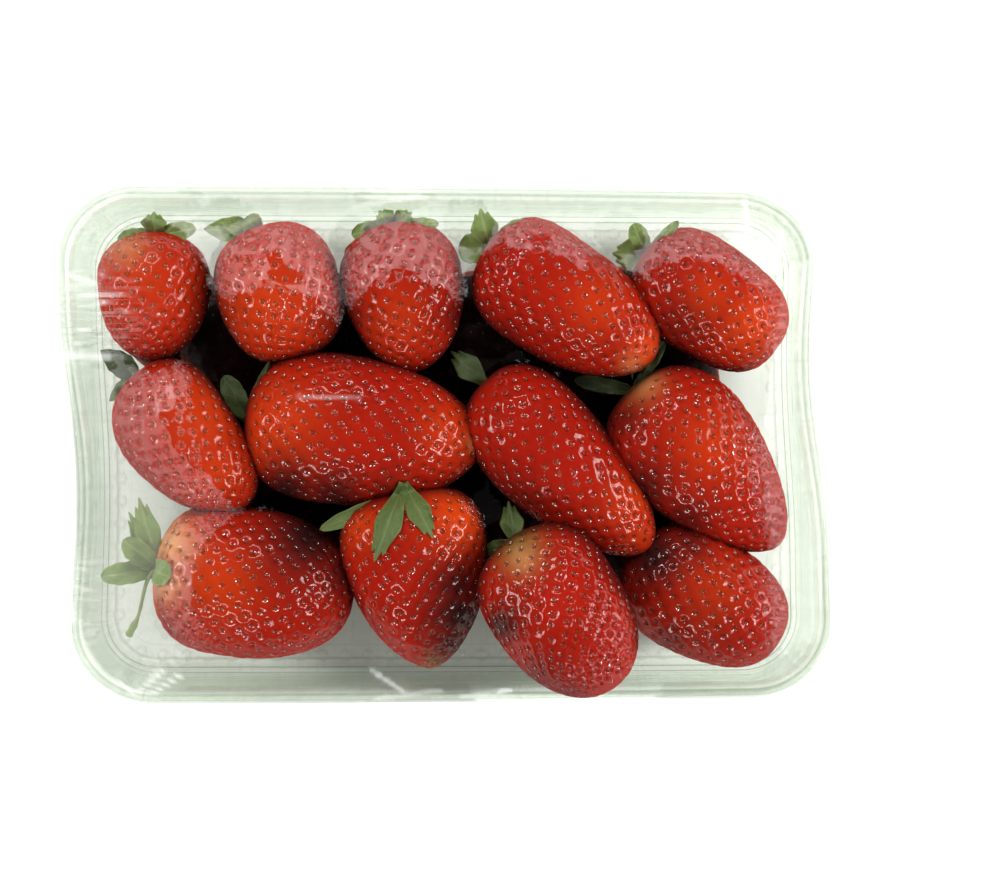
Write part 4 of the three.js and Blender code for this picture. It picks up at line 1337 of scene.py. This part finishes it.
def make_floor():
    """White paper with painted light: it glows evenly beyond the pack, which washes out the pack's
    shadow there. Under its edges the glow is weaker, stronger towards the back and the right, and it
    falls to nothing under the middle. Along the front half of the left wall it is weaker still, as
    painted shade."""
    material, tree = new_material("floor_white")
    paper = node(tree, "BsdfDiffuse", {"Color": (0.9, 0.9, 0.9, 1)})
    place = node(tree, "TexCoord").outputs["Object"]
    sides = node(tree, "SeparateXYZ", {0: place}).outputs
    x, y = sides["X"], sides["Y"]
    across = maths(tree, "ABSOLUTE", x)
    by_side, by_back = eased(tree, across, 0.052, 0.082), eased(tree, y, 0.048, 0.058)
    beyond = maths(tree, "MAXIMUM", by_side, by_back)
    forward = maths(tree, "MULTIPLY_ADD", across, 0.3, maths(tree, "MULTIPLY", y, -1.0))
    beyond = maths(tree, "MAXIMUM", beyond, eased(tree, forward, 0.0625, 0.072))
    slope = maths(tree, "MULTIPLY_ADD", x, 3.0, maths(tree, "MULTIPLY_ADD", y, 4.0, 1.05))
    strength = maths(tree, "MULTIPLY", maths(tree, "MULTIPLY", beyond, slope), FLOOR_GLOW)
    straight = node(tree, "CombineXYZ", {0: maths(tree, "MULTIPLY_ADD", y, RACK, x), 1: y}).outputs[0]
    # How far a place lies past the middles of the outline's corners.
    middles = ((PACK_LENGTH / 2 - CORNER_RADIUS) * MM, (PACK_WIDTH / 2 - CORNER_RADIUS) * MM, 0)
    past = straight
    for operation, other in (
        ("MULTIPLY", (1, 1.015, 0)), ("ABSOLUTE", None), ("SUBTRACT", middles), ("MAXIMUM", (0, 0, 0)),
    ):
        feeds = {0: past} if other is None else {0: past, 1: other}
        past = node(tree, "VectorMath", feeds, operation=operation).outputs[0]
    past = node(tree, "VectorMath", {0: past}, operation="LENGTH").outputs["Value"]
    strength = maths(tree, "MAXIMUM", strength, eased(tree, past, CORNER_RADIUS * MM, 0.0215))
    # Painted shade: less glow along the front half of the left wall.
    dim = maths(tree, "MULTIPLY", eased(tree, x, -0.0965, -0.094), eased(tree, x, -0.082, -0.087))
    to_front = maths(tree, "MULTIPLY", eased(tree, y, 0.0, -0.02), eased(tree, y, -0.056, -0.046))
    dim = maths(tree, "MULTIPLY_ADD", maths(tree, "MULTIPLY", dim, to_front), -0.32, 1.0)
    strength = maths(tree, "MULTIPLY", strength, dim)
    glow = node(tree, "Emission", {"Color": (1, 1, 1, 1), "Strength": strength})
    lit = node(tree, "AddShader", {0: paper.outputs[0], 1: glow.outputs[0]})
    close_material(tree, lit.outputs[0])
    corners = [(x * FLOOR_HALF, y * FLOOR_HALF, -0.05) for x, y in ((-1, -1), (1, -1), (1, 1), (-1, 1))]
    floor = new_piece("floor", np.array(corners, float), [[0, 1, 2, 3]], [], material)


# Name, direction round from +X and down from straight up in degrees, distance, width and height in
# metres, power in watts, and what it lights: "clear" the film and the tray, and shows in them,
# "fruit" the heap, and shows in it, and "all" everything, but shows in nothing.
LIGHTS = [
    ("back_box", 90, 32, 1.3, 0.9, 0.85, 5.4, "clear"),
    ("left_box", 180, 38, 1.3, 1.2, 1.3, 7.5, "clear"),
    ("right_box", 0, 45, 1.3, 1.2, 1.0, 9.4, "clear"),
    ("left_lamp", 172, 62, 1.4, 0.12, 0.12, 2.4, "clear"),
    ("right_lamp", 30, 66, 1.4, 0.3, 0.2, 4.0, "clear"),
    ("left_shine", 178, 60, 1.4, 0.5, 0.36, 6.0, "fruit"),
    ("right_shine", 12, 64, 1.4, 0.6, 0.4, 8.0, "fruit"),
    ("back_shine", 92, 50, 1.4, 0.6, 0.14, 3.0, "fruit"),
    ("front_shine", 255, 60, 1.4, 0.4, 0.2, 3.0, "fruit"),
    ("near_spark", 332, 50, 1.4, 0.34, 0.3, 4.6, "fruit"),
    ("far_spark", 142, 40, 1.4, 0.2, 0.2, 2.0, "fruit"),
    ("back_fill", 95, 40, 1.5, 1.6, 1.0, 11.0, "all"),
    ("left_fill", 170, 55, 1.5, 1.2, 0.8, 3.9, "all"),
    ("right_fill", 10, 55, 1.5, 1.2, 0.8, 4.0, "all"),
    ("front_fill", 270, 50, 1.5, 1.6, 0.8, 6.2, "all"),
]


def make_lights():
    lit = {"clear": [film, tray], "fruit": made_for_heap}
    for kind, pieces in lit.items():
        lit[kind] = bpy.data.collections.new("lit_" + kind)
        for piece in pieces:
            lit[kind].objects.link(piece)
    for name, way, down, distance, wide, high, power, kind in LIGHTS:
        light = bpy.data.lights.new(name, "AREA")
        light.shape = "RECTANGLE"
        light.size, light.size_y, light.energy = wide, high, power
        lamp = bpy.data.objects.new(name, light)
        way, down = math.radians(way), math.radians(down)
        out = Vector((math.cos(way) * math.sin(down), math.sin(way) * math.sin(down), math.cos(down)))
        lamp.location = out * distance
        lamp.visible_glossy = kind != "all"
        if kind in lit:
            lamp.light_linking.receiver_collection = lit[kind]
        lamp.rotation_mode = "QUATERNION"
        lamp.rotation_quaternion = out.to_track_quat("Z", "Y")
        bpy.context.scene.collection.objects.link(lamp)
    world = bpy.data.worlds.new("room")
    world.use_nodes = True
    background = world.node_tree.nodes["Background"]
    background.inputs[0].default_value = (1, 1, 1, 1)
    background.inputs[1].default_value = WORLD_GLOW
    bpy.context.scene.world = world


CAMERA_X = 13.65
CAMERA_Y = -0.1
CAMERA_HEIGHT = 1350
FIELD_AT_RIM = 244.8
SENSOR = 36


def make_camera():
    data = bpy.data.cameras.new("camera")
    data.sensor_width = SENSOR
    data.lens = SENSOR * (CAMERA_HEIGHT - RIM_HEIGHT) / FIELD_AT_RIM
    data.clip_start, data.clip_end = 0.05, 20
    camera = bpy.data.objects.new("camera", data)
    camera.location = (CAMERA_X * MM, CAMERA_Y * MM, CAMERA_HEIGHT * MM)
    bpy.context.scene.collection.objects.link(camera)
    bpy.context.scene.camera = camera


make_floor()
make_lights()
make_camera()
bpy.context.scene.view_settings.view_transform = "Standard"
cycles = bpy.context.scene.cycles
cycles.transparent_max_bounces = 40
cycles.max_bounces = 6
cycles.diffuse_bounces = 1
cycles.glossy_bounces = 3
